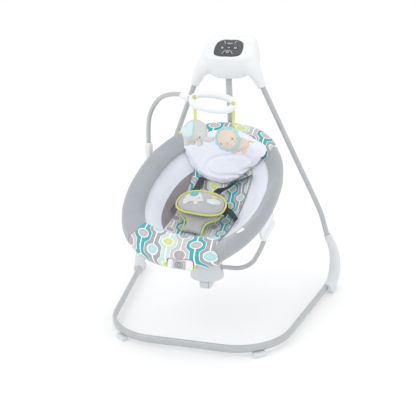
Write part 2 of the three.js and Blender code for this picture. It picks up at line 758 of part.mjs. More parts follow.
// The printed centre pad follows the bowl from the head end to the leg rest.
function centrePad() {
  const [back, front, rows, columns] = [222, -206, 11, 6];
  const halfWidth = (y) => 108 - 14 * Math.max(0, -y / 206) ** 2 - 30 * Math.max(0, (y - 140) / 82) ** 2;
  const loops = [];
  for (let i = 0; i <= rows; i++) {
    const y = back + ((front - back) * i) / rows;
    const row = (lift) =>
      Array.from({ length: columns + 1 }, (_, j) => {
        const share = (2 * j) / columns - 1;
        const x = halfWidth(y) * share;
        return v3(x, y, bowlZ(x, y) + lift(share));
      });
    const crown = (share) => 4 + (PAD_THICK - 4) * Math.sqrt(1 - 0.8 * share ** 2);
    loops.push([...row(() => 3), ...row(crown).reverse()]);
  }
  return loft(loops);
}

// Seat surface under the head pillow: the bowl, then up over the rim.
function pillowBase(x, y) {
  const reach = (Math.abs(x / BOWL.a) ** OVAL_POWER + Math.abs(y / BOWL.b) ** OVAL_POWER) ** (1 / OVAL_POWER);
  const climb = THREE.MathUtils.smoothstep(reach, 0.86, 1.16);
  return bowlZ(x, y) + 22 + 20 * climb;
}

const PILLOW = { halfWidth: 150, y: 200, below: 108, above: 92, thick: 24 };

function headSupport() {
  const outline = (count) =>
    Array.from({ length: count }, (_, i) => {
      const angle = (2 * Math.PI * i) / count;
      const half = Math.sin(angle) > 0 ? PILLOW.above : PILLOW.below;
      const [x, y] = onOval(PILLOW.halfWidth, half, angle, 2.3);
      return { x, y: PILLOW.y + y, cx: 0, cy: PILLOW.y };
    });
  const lift = (x, y) => pillowBase(x, y) + PILLOW.thick / 2;
  return pad(outline, PILLOW.thick, lift, { rows: 3, count: 24 });
}

const WAIST = { halfWidth: 91, halfLength: 56, x: -6, y: -36, z: -28, thick: 21, sag: 10 };

function waistPad() {
  const outline = (count) =>
    Array.from({ length: count }, (_, i) => {
      const [x, y] = onOval(WAIST.halfWidth, WAIST.halfLength, (2 * Math.PI * i) / count, 2.3);
      return { x: WAIST.x + x, y: WAIST.y + y, cx: WAIST.x, cy: WAIST.y };
    });
  const lift = (x) => WAIST.z - WAIST.sag * ((x - WAIST.x) / WAIST.halfWidth) ** 2;
  return pad(outline, WAIST.thick, lift, { rows: 2, count: 20 });
}

const CROTCH_X = -8;

// The crotch pad slopes from under the waist pad down to the seat, flared at its top.
function crotchPad() {
  const stations = [
    [-58, -53, 48],
    [-74, -55, 41],
    [-92, -59, 33],
    [-112, -64, 33],
    [-128, -68, 36],
    [-136, -70, 34],
  ];
  const loops = stations.map(([y, z, half]) => {
    const outline = polygon(half, 7.5, 12);
    return outline.map((p) => v3(CROTCH_X + p.x, y, z + p.y));
  });
  return loft(loops);
}

// The leg rest wraps the foot of the rim, from a straight top edge over the front.
function legRest() {
  const span = 90 - FOOT_EDGE_DEG - 0.4;
  const steps = 8;
  const [edgeHalf, edgeY, edgeZ] = [121, -209, 2];
  const loops = [];
  for (let i = 0; i <= steps; i++) {
    const share = (2 * i) / steps - 1;
    const rim = rimLoop(degrees(-90 + span * share));
    const edge = v3(edgeHalf * share, edgeY, edgeZ);
    const inward = (height) => edge.clone().add(v3(0, 0, height));
    const middle = rim[2].clone().lerp(edge, 0.45).add(v3(0, 0, 6));
    const under = rim[11].clone().lerp(edge, 0.45).add(v3(0, 0, -3));
    loops.push([inward(6), middle, ...rim.slice(2, 12), under, inward(-4)]);
  }
  return solid(loft(loops));
}

const VIBRATION = { wide: 88, tall: 36, deep: 46, face: 28, rise: 5, faceDeg: 34, x: 46, turnDeg: 4 };

// Places a piece made facing +z on the vibration unit; `out` is its distance from the tube's axis.
function ontoVibration(geometry, out) {
  const share = (VIBRATION.x / RING.a) ** OVAL_POWER;
  return geometry
    .translate(0, VIBRATION.rise, out)
    .rotateX(degrees(90 - VIBRATION.faceDeg))
    .rotateZ(degrees(VIBRATION.turnDeg))
    .translate(VIBRATION.x, -RING.b * (1 - share) ** (1 / OVAL_POWER), RING.z);
}

function vibrationBody(grow) {
  const { wide, tall, deep, face } = VIBRATION;
  return ontoVibration(plate(wide + 2 * grow, tall + 2 * grow, deep + 2 * grow, 11), face - deep / 2);
}

function makeSeat(part) {
  put(part, "cradle_tube", cradleTube(), paint);
  put(part, "toy_bar_clip", toyBarClip(), whitePlastic);
  const split = RING.splitDeg;
  put(seatFrame, "head_ring_tube", ringTube(split + 0.1, 180 - split - 0.1), paint);
  put(seatFrame, "foot_ring_tube", ringTube(180 - split + 0.1, 360 + split - 0.1), paint);
  for (const [name, side] of sides) {
    put(seatFrame, `${name}_side_bracket`, sideBracket(side), whitePlastic);
  }
  put(seatFrame, "rim_right", rimPanel(-FOOT_EDGE_DEG, HEAD_EDGE_DEG - 0.4, 9), greyPlush);
  put(seatFrame, "rim_left", rimPanel(180 - HEAD_EDGE_DEG + 0.4, 180 + FOOT_EDGE_DEG, 9), greyPlush);
  put(seatFrame, "rim_head", rimPanel(HEAD_EDGE_DEG, 180 - HEAD_EDGE_DEG, 10), printFabric);
  put(seatFrame, "seat_liner", bowl(), whiteFabric);
  put(seatFrame, "centre_pad", centrePad(), printFabric);
  put(seatFrame, "head_support", headSupport(), whiteFabric);
  put(seatFrame, "leg_rest", geometryOf(cutFrom(legRest(), vibrationBody(1.5))), printFabric);
  put(seatFrame, "waist_pad", waistPad(), padFabric);
  put(seatFrame, "crotch_pad", crotchPad(), padFabric);
  const shell = cutFrom(solid(vibrationBody(0)), ringTube(250, 310, 5 * GAP, 0, 8));
  const recess = ontoVibration(plate(39.7, 27.7, 6, 4), VIBRATION.face);
  put(seatFrame, "vibration_unit", geometryOf(cutFrom(shell, recess)), whitePlastic);
  put(seatFrame, "vibration_button", ontoVibration(plate(39, 27, 2.5, 3.7), VIBRATION.face), greyPlastic);
  makeHarness();
  part.add(seatFrame);
}

const BUCKLE = { x: 74, y: -32, z: -56, wide: 30, long: 34, thick: 10 };
const WEB = { width: 24, thick: 2.2 };

// The webbing of one side: the shoulder strap comes down from the head pillow to the buckle, and the
// waist strap goes on from there to its slot in the side of the bowl.
function harnessWeb(side) {
  const top = BUCKLE.z + BUCKLE.thick / 2 + GAP + WEB.thick / 2;
  const fromPillow = side < 0 ? [[-64, 88, -72], [-61, 62, -68]] : [[94, 96, -66], [70, 68, -63]];
  const toBuckle = [[side * 62, 30, -57], [side * 72, 0, top], [side * 74, -40, top]];
  const toSlot = [[side * 60, -32, top], [side * 93, -32, top], [side * 110, -40, -60], [side * 124, -46, -77]];
  const shoulder = strap([...fromPillow, ...toBuckle], [1, 0, 0], WEB.width, WEB.thick);
  const waist = strap(toSlot, [0, 1, 0], WEB.width, WEB.thick);
  return geometryOf(joined(shoulder, waist));
}

function makeHarness() {
  const { x, y, z, wide, long, thick } = BUCKLE;
  for (const [name, side] of sides) {
    put(seatFrame, `${name}_harness_web`, harnessWeb(side), webbing);
    const body = plate(wide, long, thick, 6).translate(side * x, y, z);
    const front = y - long / 2;
    const pocket = block(14 + 2 * GAP, 6, 5 + 2 * GAP, [side * x, front, z]);
    put(seatFrame, `${name}_buckle`, geometryOf(cutFrom(solid(body), pocket)), darkPlastic);
    put(seatFrame, `${name}_buckle_button`, block(14, 2, 5, [side * x, front - 0.6, z]), greyPlastic);
  }
}

// ---------------------------------------------------------------- toy bar and toys
function toyBarTube() {
  const [x, y] = TOY_BAR.axis;
  const path = [
    [x, y, TOY_BAR.clipTop - 33],
    [x, y, TOY_BAR.clipTop + 8],
    [-253, 95, 681],
    [-231, 85, 727],
    [-193, 60, 766],
    [-141, 20, 790],
    [-88, -26, 802],
    [-58, -52, 800],
  ];
  return path;
}

// Turns a piece from the toy ring's own level frame into its hanging place.
function ontoRing(geometry) {
  return geometry
    .rotateX(degrees(TOY_RING.tiltDeg))
    .rotateY(degrees(TOY_RING.rollDeg))
    .translate(...TOY_RING.at);
}

function toyRing() {
  const { a, b, wide, tall } = TOY_RING;
  const loops = [];
  const count = 20;
  for (let i = 0; i < count; i++) {
    const angle = (2 * Math.PI * i) / count;
    const [x, y] = onOval(a, b, angle, 2.5);
    const outwards = v3(x / a ** 2, y / b ** 2, 0).normalize();
    loops.push(
      polygon(wide / 2, tall / 2, 6).map((p) => v3(x, y, p.y).addScaledVector(outwards, p.x)),
    );
  }
  const oval = ontoRing(loft(loops, true));
  const sleeve = rod([-82, -31, 801.5], [-48, -58, 798], 11.5, 12);
  const bore = tube(through(toyBarTube()), { rx: TOY_BAR.radius + 3 * GAP, count: 8, steps: 16 });
  return geometryOf(cutFrom(joined(oval, sleeve), bore));
}

const TOYS = {
  elephant: { x: -64, strapLength: 62 },
  lion: { x: 70, strapLength: 76 },
};

// The point on the toy ring's band where a toy's peg goes through it.
function pegPoint(toy) {
  return v3(toy.x, 0, 0)
    .applyAxisAngle(v3(1, 0, 0), degrees(TOY_RING.tiltDeg))
    .applyAxisAngle(v3(0, 1, 0), degrees(TOY_RING.rollDeg))
    .add(v3(...TOY_RING.at));
}

function ellipsoid(rx, ry, rz, at, count = 8) {
  return new THREE.SphereGeometry(1, count, 5).rotateX(Math.PI / 2).scale(rx, ry, rz).translate(...at);
}

// Sizes are from the strap's lower end, with the toy hanging below it and facing -Y.
function elephantBody() {
  return joined(
    ellipsoid(37, 23, 34, [4, 0, -34]),
    ellipsoid(24, 21, 27, [-18, 2, -42]),
    ellipsoid(16, 9, 24, [-20, -17, -30]),
    ellipsoid(24, 9, 10, [42, 0, -60]),
    rod([-22, 0, -60], [-23, 0, -86], 10, 10),
    rod([16, 0, -60], [18, 0, -84], 10, 10),
  );
}

function lionBody() {
  return joined(
    ellipsoid(42, 16, 42, [-8, -8, -41], 12),
    ellipsoid(34, 19, 23, [26, 10, -62]),
    rod([4, 10, -74], [3, 10, -96], 9, 10),
    rod([42, 10, -74], [44, 10, -96], 9, 10),
    rod([54, 10, -54], [74, 10, -50], 4, 8),
  );
}

function makeToys(part) {
  const path = through(toyBarTube());
  put(part, "toy_bar_tube", tube(path, { rx: TOY_BAR.radius, wall: TOY_BAR.wall, count: 8, steps: 16 }), paint);
  const pegHole = (toy) => ontoRing(rod([toy.x, 0, -20], [toy.x, 0, 20], 4 + GAP, 12));
  let ring = solid(toyRing());
  for (const toy of Object.values(TOYS)) ring = ring.subtract(solid(pegHole(toy)));
  put(part, "toy_ring", geometryOf(ring), whitePlastic);
  const bodies = { elephant: [elephantBody(), padFabric], lion: [lionBody(), whiteFabric] };
  for (const [name, toy] of Object.entries(TOYS)) {
    const pegProfile = [
      [0, -9],
      [4, -9],
      [4, 9.4],
      [6.5, 9.4],
      [6.5, 14],
      [0, 17],
    ];
    const peg = ontoRing(turned(pegProfile, 12).translate(toy.x, 0, 0));
    put(part, `${name}_peg`, peg, lime);
    const hang = pegPoint(toy).add(v3(0, 0, -13));
    const ribbon = block(10, 2.4, toy.strapLength, [hang.x, hang.y, hang.z - toy.strapLength / 2]);
    const [body, mat] = bodies[name];
    const drop = hang.z - toy.strapLength + 12;
    const hung = body.translate([hang.x, hang.y, drop]).add(solid(ribbon));
    put(part, `${name}_toy`, geometryOf(hung), mat);
  }
}

// ---------------------------------------------------------------- the whole swing
const babySwing = new THREE.Group();
babySwing.position.y = FRAME_SHIFT_Y;
makeStand(babySwing);
makeHousing(babySwing);
makeArm(babySwing);
makeSeat(babySwing);
makeToys(babySwing);

export default babySwing;
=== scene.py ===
"""Looks of a battery baby swing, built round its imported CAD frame.

Lengths in the tables are millimetres; `world` and `seat` turn them into the frame's metres.
The seat's own frame has x to the right, y towards the head end and z out of the bowl.
"""
import json
import math

import bmesh
import bpy
import numpy as np
from mathutils import Matrix, Vector
from mathutils.bvhtree import BVHTree

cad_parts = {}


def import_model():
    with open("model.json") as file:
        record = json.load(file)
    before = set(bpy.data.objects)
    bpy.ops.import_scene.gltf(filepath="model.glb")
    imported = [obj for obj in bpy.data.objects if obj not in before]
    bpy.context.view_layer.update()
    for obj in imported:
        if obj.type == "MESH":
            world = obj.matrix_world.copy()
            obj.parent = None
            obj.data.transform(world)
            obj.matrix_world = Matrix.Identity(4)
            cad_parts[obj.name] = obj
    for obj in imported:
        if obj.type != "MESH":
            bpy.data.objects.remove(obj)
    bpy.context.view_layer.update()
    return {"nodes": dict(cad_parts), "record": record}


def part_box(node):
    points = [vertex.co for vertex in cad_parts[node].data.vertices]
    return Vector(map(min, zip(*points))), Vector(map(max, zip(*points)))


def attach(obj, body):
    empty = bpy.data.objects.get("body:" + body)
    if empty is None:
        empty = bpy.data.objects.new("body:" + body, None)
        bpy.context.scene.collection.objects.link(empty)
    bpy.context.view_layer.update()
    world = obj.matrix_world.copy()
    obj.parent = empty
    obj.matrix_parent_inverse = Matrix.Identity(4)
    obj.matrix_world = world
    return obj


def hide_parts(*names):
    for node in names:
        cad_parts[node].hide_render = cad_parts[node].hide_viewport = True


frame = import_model()
NODES = frame["nodes"]
SLOTS = {s["node"]: s["material_slot"] for s in frame["record"]["subparts"]}

# ---------------------------------------------------------------- dimensions shared with the CAD
SHIFT_Y = 17.68
SEAT_AT = (0, -68, 483)
SEAT_TILT, SEAT_SPIN = math.radians(25.9), math.radians(-7)
OVAL_POWER = 2.2
BOWL = {"a": 206, "b": 250, "rim_z": -12, "depth": 108, "power": 2.6}
RING = {"a": 241, "b": 322, "z": -14}
HEAD_EDGE, FOOT_EDGE = 45, 55
SIDES = (("left", -1), ("right", 1))
PARTING_Y = 288
LEG_TOP, LEG_FOOT = (127.5, 246, 776), (334, 303, 292)

# ---------------------------------------------------------------- numbers to geometry
def world(points):
    """Millimetres in the swing's frame to metres in the scene."""
    return (np.asarray(points, float) + (0, SHIFT_Y, 0)) / 1000


def spin_z(angle):
    """The matrix that turns points about the vertical axis."""
    c, s = math.cos(angle), math.sin(angle)
    return np.array([[c, -s, 0], [s, c, 0], [0, 0, 1]])


COS, SIN = math.cos(SEAT_TILT), math.sin(SEAT_TILT)
SEAT_TURN = np.array([[1, 0, 0], [0, COS, -SIN], [0, SIN, COS]]) @ spin_z(SEAT_SPIN)


def seat(points):
    """Millimetres in the seat's frame to metres in the scene."""
    return world(np.asarray(points, float) @ SEAT_TURN.T + SEAT_AT)


def unit(v):
    return v / np.maximum(np.linalg.norm(v, axis=-1, keepdims=True), 1e-12)


def spline(points, count, closed=False):
    """Points evenly spaced along the smooth curve through the given points."""
    p = np.array(points, float)
    p = np.vstack([p[-1:], p, p[:2]]) if closed else np.vstack([2 * p[0] - p[1], p, 2 * p[-1] - p[-2]])
    fine = []
    for a, b, c, d in zip(p, p[1:], p[2:], p[3:]):
        steps = [max(np.linalg.norm(q - r), 1e-9) ** 0.5 for q, r in ((b, a), (c, b), (d, c))]
        t0, t1, t2, t3 = np.cumsum([0] + steps)
        t = np.linspace(t1, t2, 16, endpoint=False)[:, None]
        ab = (t1 - t) / (t1 - t0) * a + (t - t0) / (t1 - t0) * b
        bc = (t2 - t) / (t2 - t1) * b + (t - t1) / (t2 - t1) * c
        cd = (t3 - t) / (t3 - t2) * c + (t - t2) / (t3 - t2) * d
        abc = (t2 - t) / (t2 - t0) * ab + (t - t0) / (t2 - t0) * bc
        bcd = (t3 - t) / (t3 - t1) * bc + (t - t1) / (t3 - t1) * cd
        fine.append((t2 - t) / (t2 - t1) * abc + (t - t1) / (t2 - t1) * bcd)
    fine = np.vstack(fine + [p[1:2] if closed else p[-2:-1]])
    run = np.concatenate([[0], np.cumsum(np.linalg.norm(np.diff(fine, axis=0), axis=1))])
    where = np.linspace(0, run[-1], count + 1)[:-1] if closed else np.linspace(0, run[-1], count)
    return np.stack([np.interp(where, run, fine[:, k]) for k in range(fine.shape[1])], axis=1)


def arc_length(points):
    return np.concatenate([[0], np.cumsum(np.linalg.norm(np.diff(points, axis=0), axis=1))])


def oval(a, b, angle, power=OVAL_POWER):
    """Points of a squared oval at parameter angles in radians."""
    c, s = np.cos(angle), np.sin(angle)
    return np.stack([a * np.sign(c) * abs(c) ** (2 / power), b * np.sign(s) * abs(s) ** (2 / power)], axis=-1)


def full_turn(count):
    return np.linspace(0, 2 * np.pi, count, endpoint=False)


def section(rx, ry, sides, power=2.0):
    return oval(rx, ry, full_turn(sides), power)


def carried_frames(path, closed=False):
    """Two directions across a path at each of its points, turning as little as possible."""
    ahead = np.roll(path, -1, axis=0) - np.roll(path, 1, axis=0) if closed else np.gradient(path, axis=0)
    tangent = unit(ahead)
    seed = np.eye(3)[np.argmin(abs(tangent[0]))]
    first = unit(np.cross(tangent[0], seed))
    across = []
    for t in tangent:
        first = unit(first - t * np.dot(first, t))
        across.append(first)
    across = np.array(across)
    return across, np.cross(tangent, across)


# ---------------------------------------------------------------- meshes
def add_mesh(name, verts, faces, mat=None, smooth=True):
    mesh = bpy.data.meshes.new(name)
    mesh.from_pydata(np.asarray(verts).tolist(), [], faces)
    mesh.update()
    mesh.polygons.foreach_set("use_smooth", [smooth] * len(mesh.polygons))
    obj = bpy.data.objects.new(name, mesh)
    bpy.context.scene.collection.objects.link(obj)
    if mat:
        mesh.materials.append(mat)
    return obj


def face_outward(obj):
    bm = bmesh.new()
    bm.from_mesh(obj.data)
    bmesh.ops.recalc_face_normals(bm, faces=bm.faces)
    if bm.calc_volume(signed=True) < 0:
        bmesh.ops.reverse_faces(bm, faces=bm.faces)
    bm.to_mesh(obj.data)
    bm.free()
    return obj


def loft(name, loops, mat=None, ring=False, uv=None):
    """A closed solid through loops of points, capped unless it is a ring.

    uv gives each point's position on the cloth, in millimetres.
    """
    loops = np.asarray(loops, float)
    rows, n = loops.shape[:2]
    faces = []
    for i in range(rows if ring else rows - 1):
        here, there = i * n, (i + 1) % rows * n
        faces += [(here + j, here + (j + 1) % n, there + (j + 1) % n, there + j) for j in range(n)]
    if not ring:
        faces += [tuple(range(n))[::-1], tuple(range((rows - 1) * n, rows * n))]
    obj = add_mesh(name, loops.reshape(-1, 3), faces, mat)
    if uv is not None:
        flat = np.asarray(uv, float).reshape(-1, 2)
        layer = obj.data.uv_layers.new(name="cloth")
        corner = np.empty(len(obj.data.loops), int)
        obj.data.loops.foreach_get("vertex_index", corner)
        layer.data.foreach_set("uv", flat[corner].ravel())
    return face_outward(obj)


def sweep(name, path, radii, mat=None, sides=20, closed=False, power=2.0, frames=None):
    """A bar along a path in metres; radii is one radius, a pair, or a pair for every point, in mm."""
    path = np.asarray(path, float)
    radii = np.broadcast_to(np.asarray(radii, float) / 1000, (len(path), 2))
    across, along = frames or carried_frames(path, closed)
    ring = section(1, 1, sides, power)
    loops = [
        p + np.outer(ring[:, 0] * r[0], a) + np.outer(ring[:, 1] * r[1], b)
        for p, r, a, b in zip(path, radii, across, along)
    ]
    return loft(name, loops, mat, ring=closed)


def upright_frames(path, closed=False, up=(0, 0, 1)):
    """Frames whose second direction stays as upright as the path lets it."""
    ahead = np.roll(path, -1, axis=0) - np.roll(path, 1, axis=0) if closed else np.gradient(path, axis=0)
    tangent = unit(ahead)
    level = unit(np.cross(tangent, up))
    return level, np.cross(level, tangent)


def turned(name, profile, centre, mat=None, count=64, squeeze=1.0):
    """A solid turned about an upright axis; profile is radius and height from the bottom up, in mm."""
    angle = full_turn(count)
    circle = np.stack([np.cos(angle), squeeze * np.sin(angle)], axis=1)
    loops = [np.column_stack([circle * r, np.full(count, h)]) + centre for r, h in profile]
    return loft(name, world(loops), mat)


def modify(obj, kind, **settings):
    """Adds a modifier and applies it."""
    mod = obj.modifiers.new(kind.lower(), kind)
    for key, value in settings.items():
        setattr(mod, key, value)
    with bpy.context.temp_override(object=obj, active_object=obj, selected_objects=[obj]):
        bpy.ops.object.modifier_apply(modifier=mod.name)
    return obj


def smooth_shade(obj):
    obj.data.polygons.foreach_set("use_smooth", [True] * len(obj.data.polygons))
    return obj


def fuse(name, parts, mat, voxel=2.2, rounds=6):
    """Parts melted into one moulded piece: joined, remeshed and smoothed."""
    with bpy.context.temp_override(active_object=parts[0], selected_editable_objects=parts):
        bpy.ops.object.join()
    obj = parts[0]
    obj.name = name
    modify(obj, "REMESH", mode="VOXEL", voxel_size=voxel / 1000)
    modify(obj, "SMOOTH", factor=0.5, iterations=rounds)
    obj.data.materials.clear()
    obj.data.materials.append(mat)
    return smooth_shade(obj)


def cut(obj, *tools, operation="DIFFERENCE"):
    """Cuts the tools out of a piece, or joins or intersects them with it, and removes them."""
    for tool in tools:
        modify(obj, "BOOLEAN", operation=operation, object=tool, solver="EXACT")
        bpy.data.objects.remove(tool)
    return obj


BOX_FACES = [(0, 2, 3, 1), (4, 5, 7, 6), (0, 1, 5, 4), (2, 6, 7, 3), (0, 4, 6, 2), (1, 3, 7, 5)]


def box_between(name, low, high):
    low, high = world(low), world(high)
    corners = [[(low, high)[k >> axis & 1][axis] for axis in range(3)] for k in range(8)]
    return add_mesh(name, corners, BOX_FACES, smooth=False)


def rounded_block(name, size, bevel, mat, to_place, taper=1.0):
    """A moulded block with soft edges; to_place carries its own millimetres into the scene."""
    w, h, t = (s / 2 for s in size)
    verts = [
        [x * w * k, y * h * k, z * t]
        for z, k in ((-1, 1), (1, taper)) for x in (-1, 1) for y in (-1, 1)
    ]
    obj = face_outward(add_mesh(name, to_place(np.array(verts)), BOX_FACES, mat))
    modify(obj, "BEVEL", width=bevel / 1000, segments=5, limit_method="NONE")
    return smooth_shade(obj)


def place(obj, body, *nodes, slot=None):
    """Rides on a CAD body; a piece that stands for CAD nodes hides them."""
    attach(obj, body)
    if nodes:
        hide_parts(*nodes)
    return obj


# ---------------------------------------------------------------- materials
class Surface:
    """A Principled material and the few node shapes that the swing's materials are made of."""

    def __init__(self, name, color, roughness, **sockets):
        self.mat = bpy.data.materials.new(name)
        self.mat.use_nodes = True
        self.nodes, self.links = self.mat.node_tree.nodes, self.mat.node_tree.links
        self.shader = self.nodes["Principled BSDF"]
        self.color = tuple(color) + (1,)
        self.shader.inputs["Base Color"].default_value = self.color
        self.shader.inputs["Roughness"].default_value = roughness
        for key, value in sockets.items():
            self.shader.inputs[key.replace("_", " ")].default_value = value
        self.mat.diffuse_color = self.color
        self.bump_from = None

    def add(self, kind, inputs=None, **settings):
        node = self.nodes.new("ShaderNode" + kind)
        for key, value in settings.items():
            setattr(node, key, value)
        for key, value in (inputs or {}).items():
            if isinstance(value, bpy.types.NodeSocket):
                self.links.new(value, node.inputs[key])
            else:
                node.inputs[key].default_value = value
        return node

    def math(self, operation, *values):
        node = self.add("Math", dict(enumerate(values)), operation=operation)
        return node.outputs[0]

    def swap(self, choose, value, whole):
        """The value, or what is left of the whole where choose is 1."""
        rest = self.math("SUBTRACT", whole, self.math("MULTIPLY", value, 2.0))
        return self.math("ADD", value, self.math("MULTIPLY", choose, rest))

    def coords(self):
        return self.add("TexCoord").outputs["Object"]

    def noise(self, scale, detail=2.0, rough=0.5, vector=None, stretch=None):
        vector = vector or self.coords()
        if stretch:
            vector = self.add("Mapping", {"Vector": vector, "Scale": stretch}).outputs[0]
        inputs = {"Vector": vector, "Scale": scale, "Detail": detail, "Roughness": rough}
        return self.add("TexNoise", inputs).outputs[0]

    def wave(self, scale, direction, distortion=0.0):
        inputs = {"Vector": self.coords(), "Scale": scale, "Distortion": distortion}
        return self.add("TexWave", inputs, bands_direction=direction).outputs["Fac"]

    def mix(self, factor, a, b, blend="MIX"):
        node = self.add("Mix", data_type="RGBA", blend_type=blend)
        for key, value in ((0, factor), (6, a), (7, b)):
            if isinstance(value, bpy.types.NodeSocket):
                self.links.new(value, node.inputs[key])
            else:
                node.inputs[key].default_value = value if key == 0 else tuple(value[:3]) + (1,)
        return node.outputs[2]

    def ramp(self, factor, low, high, a=0.0, b=1.0):
        """Maps factor from low..high to a..b, clamped."""
        node = self.add("MapRange", {0: factor, 1: low, 2: high, 3: a, 4: b})
        return node.outputs[0]

    def set_color(self, socket):
        self.links.new(socket, self.shader.inputs["Base Color"])

    def shade(self, amount, scale, **noise):
        """Lets the colour drift darker and lighter by `amount`."""
        spread = self.ramp(self.noise(scale, **noise), 0.3, 0.7, 1 - amount, 1 + amount)
        base = self.shader.inputs["Base Color"]
        source = base.links[0].from_socket if base.is_linked else self.color
        grey = self.add("CombineColor", {0: spread, 1: spread, 2: spread}).outputs[0]
        self.set_color(self.mix(1.0, source, grey, "MULTIPLY"))
        return self

    def rough(self, low, high, scale):
        value = self.ramp(self.noise(scale, detail=3), 0.3, 0.7, low, high)
        self.links.new(value, self.shader.inputs["Roughness"])
        return self

    def bump(self, height, distance):
        """Adds a height in mm to the surface's relief."""
        inputs = {"Height": height, "Distance": distance / 1000, "Strength": 1.0}
        if self.bump_from:
            inputs["Normal"] = self.bump_from
        self.bump_from = self.add("Bump", inputs).outputs[0]
        self.links.new(self.bump_from, self.shader.inputs["Normal"])
        return self

    def weave(self, pitch, depth):
        """A plain weave whose threads are `pitch` mm apart."""
        over, under, third = (self.wave(bands(pitch), axis, 0.6) for axis in "XYZ")
        threads = self.math("MAXIMUM", self.math("MAXIMUM", over, under), third)
        return self.bump(threads, depth)


def bands(pitch):
    """The wave texture's scale for bands `pitch` mm apart."""
    return 1000 / pitch / 20


def srgb(code):
    """A colour written as web hex, in the renderer's linear values."""
    parts = [int(code[i : i + 2], 16) / 255 for i in (0, 2, 4)]
    return tuple(p / 12.92 if p <= 0.04045 else ((p + 0.055) / 1.055) ** 2.4 for p in parts)


def plastic(name, code, roughness, grain=0.03):
    s = Surface(name, srgb(code), roughness, IOR=1.5)
    s.shade(0.015, 9).rough(roughness - 0.06, roughness + 0.06, 60)
    s.bump(s.noise(900, detail=2), grain)
    return s.mat


def painted(name, code):
    s = Surface(name, srgb(code), 0.36, Metallic=0.35, Coat_Weight=0.25, Coat_Roughness=0.2)
    s.shade(0.03, 30, detail=4).rough(0.3, 0.42, 40)
    s.bump(s.noise(1400, detail=1), 0.02)
    return s.mat


def pile(name, code, drift=0.06, depth=0.5):
    """Short plush or velour, brushed unevenly."""
    s = Surface(name, srgb(code), 0.95, Sheen_Weight=0.55, Sheen_Roughness=0.45)
    s.shade(drift, 14, detail=5, rough=0.6).shade(drift, 260, detail=3)
    s.bump(s.noise(420, detail=3, rough=0.7), depth).bump(s.noise(30, detail=2), 1.2)
    return s.mat


def knit(name, code, dots=True):
    """A smooth knit, with small dots pressed into it."""
    s = Surface(name, srgb(code), 0.9, Sheen_Weight=0.25, Sheen_Roughness=0.5)
    s.shade(0.02, 22, detail=4)
    s.weave(1.1, 0.12)
    if dots:
        cell = s.add("TexVoronoi", {"Vector": s.coords(), "Scale": 125.0, "Randomness": 0.15})
        s.bump(s.ramp(cell.outputs["Distance"], 0.18, 0.42), 0.7)
    return s.mat


CHAINS = ("46abb1", "a8a4a8", "c8dfdb", "c9c5c9")
FILLS = ("c6bec3", "b9dbe2", "dde09b", "b2adb1")


PITCH, PERIOD, BEAD = 50.0, 95.0, (22.0, 19.5)
BULGE = {1: 13.0, 2: 34.5, 3: 33.0, 4: 17.0}
CLOTH, INNER_LINE = srgb("fbfcfb"), srgb("8f8b90")


def column_cell(s):
    """Where a point of the cloth lies in its column: cell number, offset from its middle, height."""
    uv = s.add("UVMap", uv_map="cloth").outputs[0]
    xy = s.add("SeparateXYZ", {0: uv}).outputs
    wobble = s.math("MULTIPLY", s.math("SUBTRACT", s.noise(60, vector=s.coords()), 0.5), 2.0)
    u = s.math("DIVIDE", s.math("ADD", xy[0], wobble), PITCH)
    cell = s.math("FLOOR", u)
    offset = s.math("MULTIPLY", s.math("SUBTRACT", s.math("FRACT", u), 0.5), PITCH)
    stagger = s.math("MULTIPLY", s.math("MODULO", s.math("ADD", cell, 40.0), 2.0), 0.5)
    v = s.math("FRACT", s.math("ADD", s.math("DIVIDE", xy[1], PERIOD), stagger))
    return cell, offset, s.math("MULTIPLY", s.math("ABSOLUTE", s.math("SUBTRACT", v, 0.5)), PERIOD)


def bead_chain(s):
    """The column's number, and how far a point belongs to its chain, its bead and the bead's ring."""
    cell, offset, here = column_cell(s)
    wide = s.add("MapRange", {0: here, **BULGE}, interpolation_type="SMOOTHSTEP").outputs[0]
    # a column bulges past its cell at a bead, into the narrow part of the next column
    beyond = s.math("GREATER_THAN", s.math("ABSOLUTE", offset), wide)
    index = s.math("ADD", cell, s.math("MULTIPLY", beyond, s.math("SIGN", offset)))
    dx = s.swap(beyond, s.math("ABSOLUTE", offset), PITCH)
    away = s.swap(beyond, here, PERIOD / 2)
    edge = s.swap(beyond, wide, PITCH)
    across = s.math("POWER", s.math("DIVIDE", dx, BEAD[0]), 2.0)
    along = s.math("POWER", s.math("DIVIDE", away, BEAD[1]), 2.0)
    reach = s.math("SQRT", s.math("ADD", across, along))
    line = s.ramp(s.math("SUBTRACT", edge, dx), 0.8, 1.4)
    gaps = s.math("MULTIPLY", s.ramp(dx, 2.0, 2.6), s.ramp(reach, 0.99, 1.02))
    disc = s.ramp(reach, 0.86, 0.89, 1.0, 0.0)
    ring = s.ramp(s.math("ABSOLUTE", s.math("SUBTRACT", reach, 0.5)), 0.03, 0.06, 0.3, 0.0)
    return index, s.math("MULTIPLY", line, gaps), disc, s.math("MULTIPLY", ring, disc)


def printed(name):
    """Cloth printed with bead chains in columns; its UV map is in millimetres along the cloth."""
    s = Surface(name, CLOTH, 0.88, Sheen_Weight=0.2, Sheen_Roughness=0.5)
    index, line, disc, ring = bead_chain(s)
    kind = s.math("MODULO", s.math("ADD", index, 40.0), 4.0)
    chain, fill = srgb(CHAINS[0]), srgb(FILLS[0])
    for k in (1, 2, 3):
        there = s.math("COMPARE", kind, float(k), 0.4)
        chain = s.mix(there, chain, srgb(CHAINS[k]))
        fill = s.mix(there, fill, srgb(FILLS[k]))
    cloth = s.mix(disc, CLOTH, fill)
    cloth = s.mix(ring, cloth, INNER_LINE)
    s.set_color(s.mix(line, cloth, chain))
    s.shade(0.03, 40, detail=4)
    s.weave(0.9, 0.1)
    s.bump(s.noise(45, detail=3), 1.0)
    return s.mat


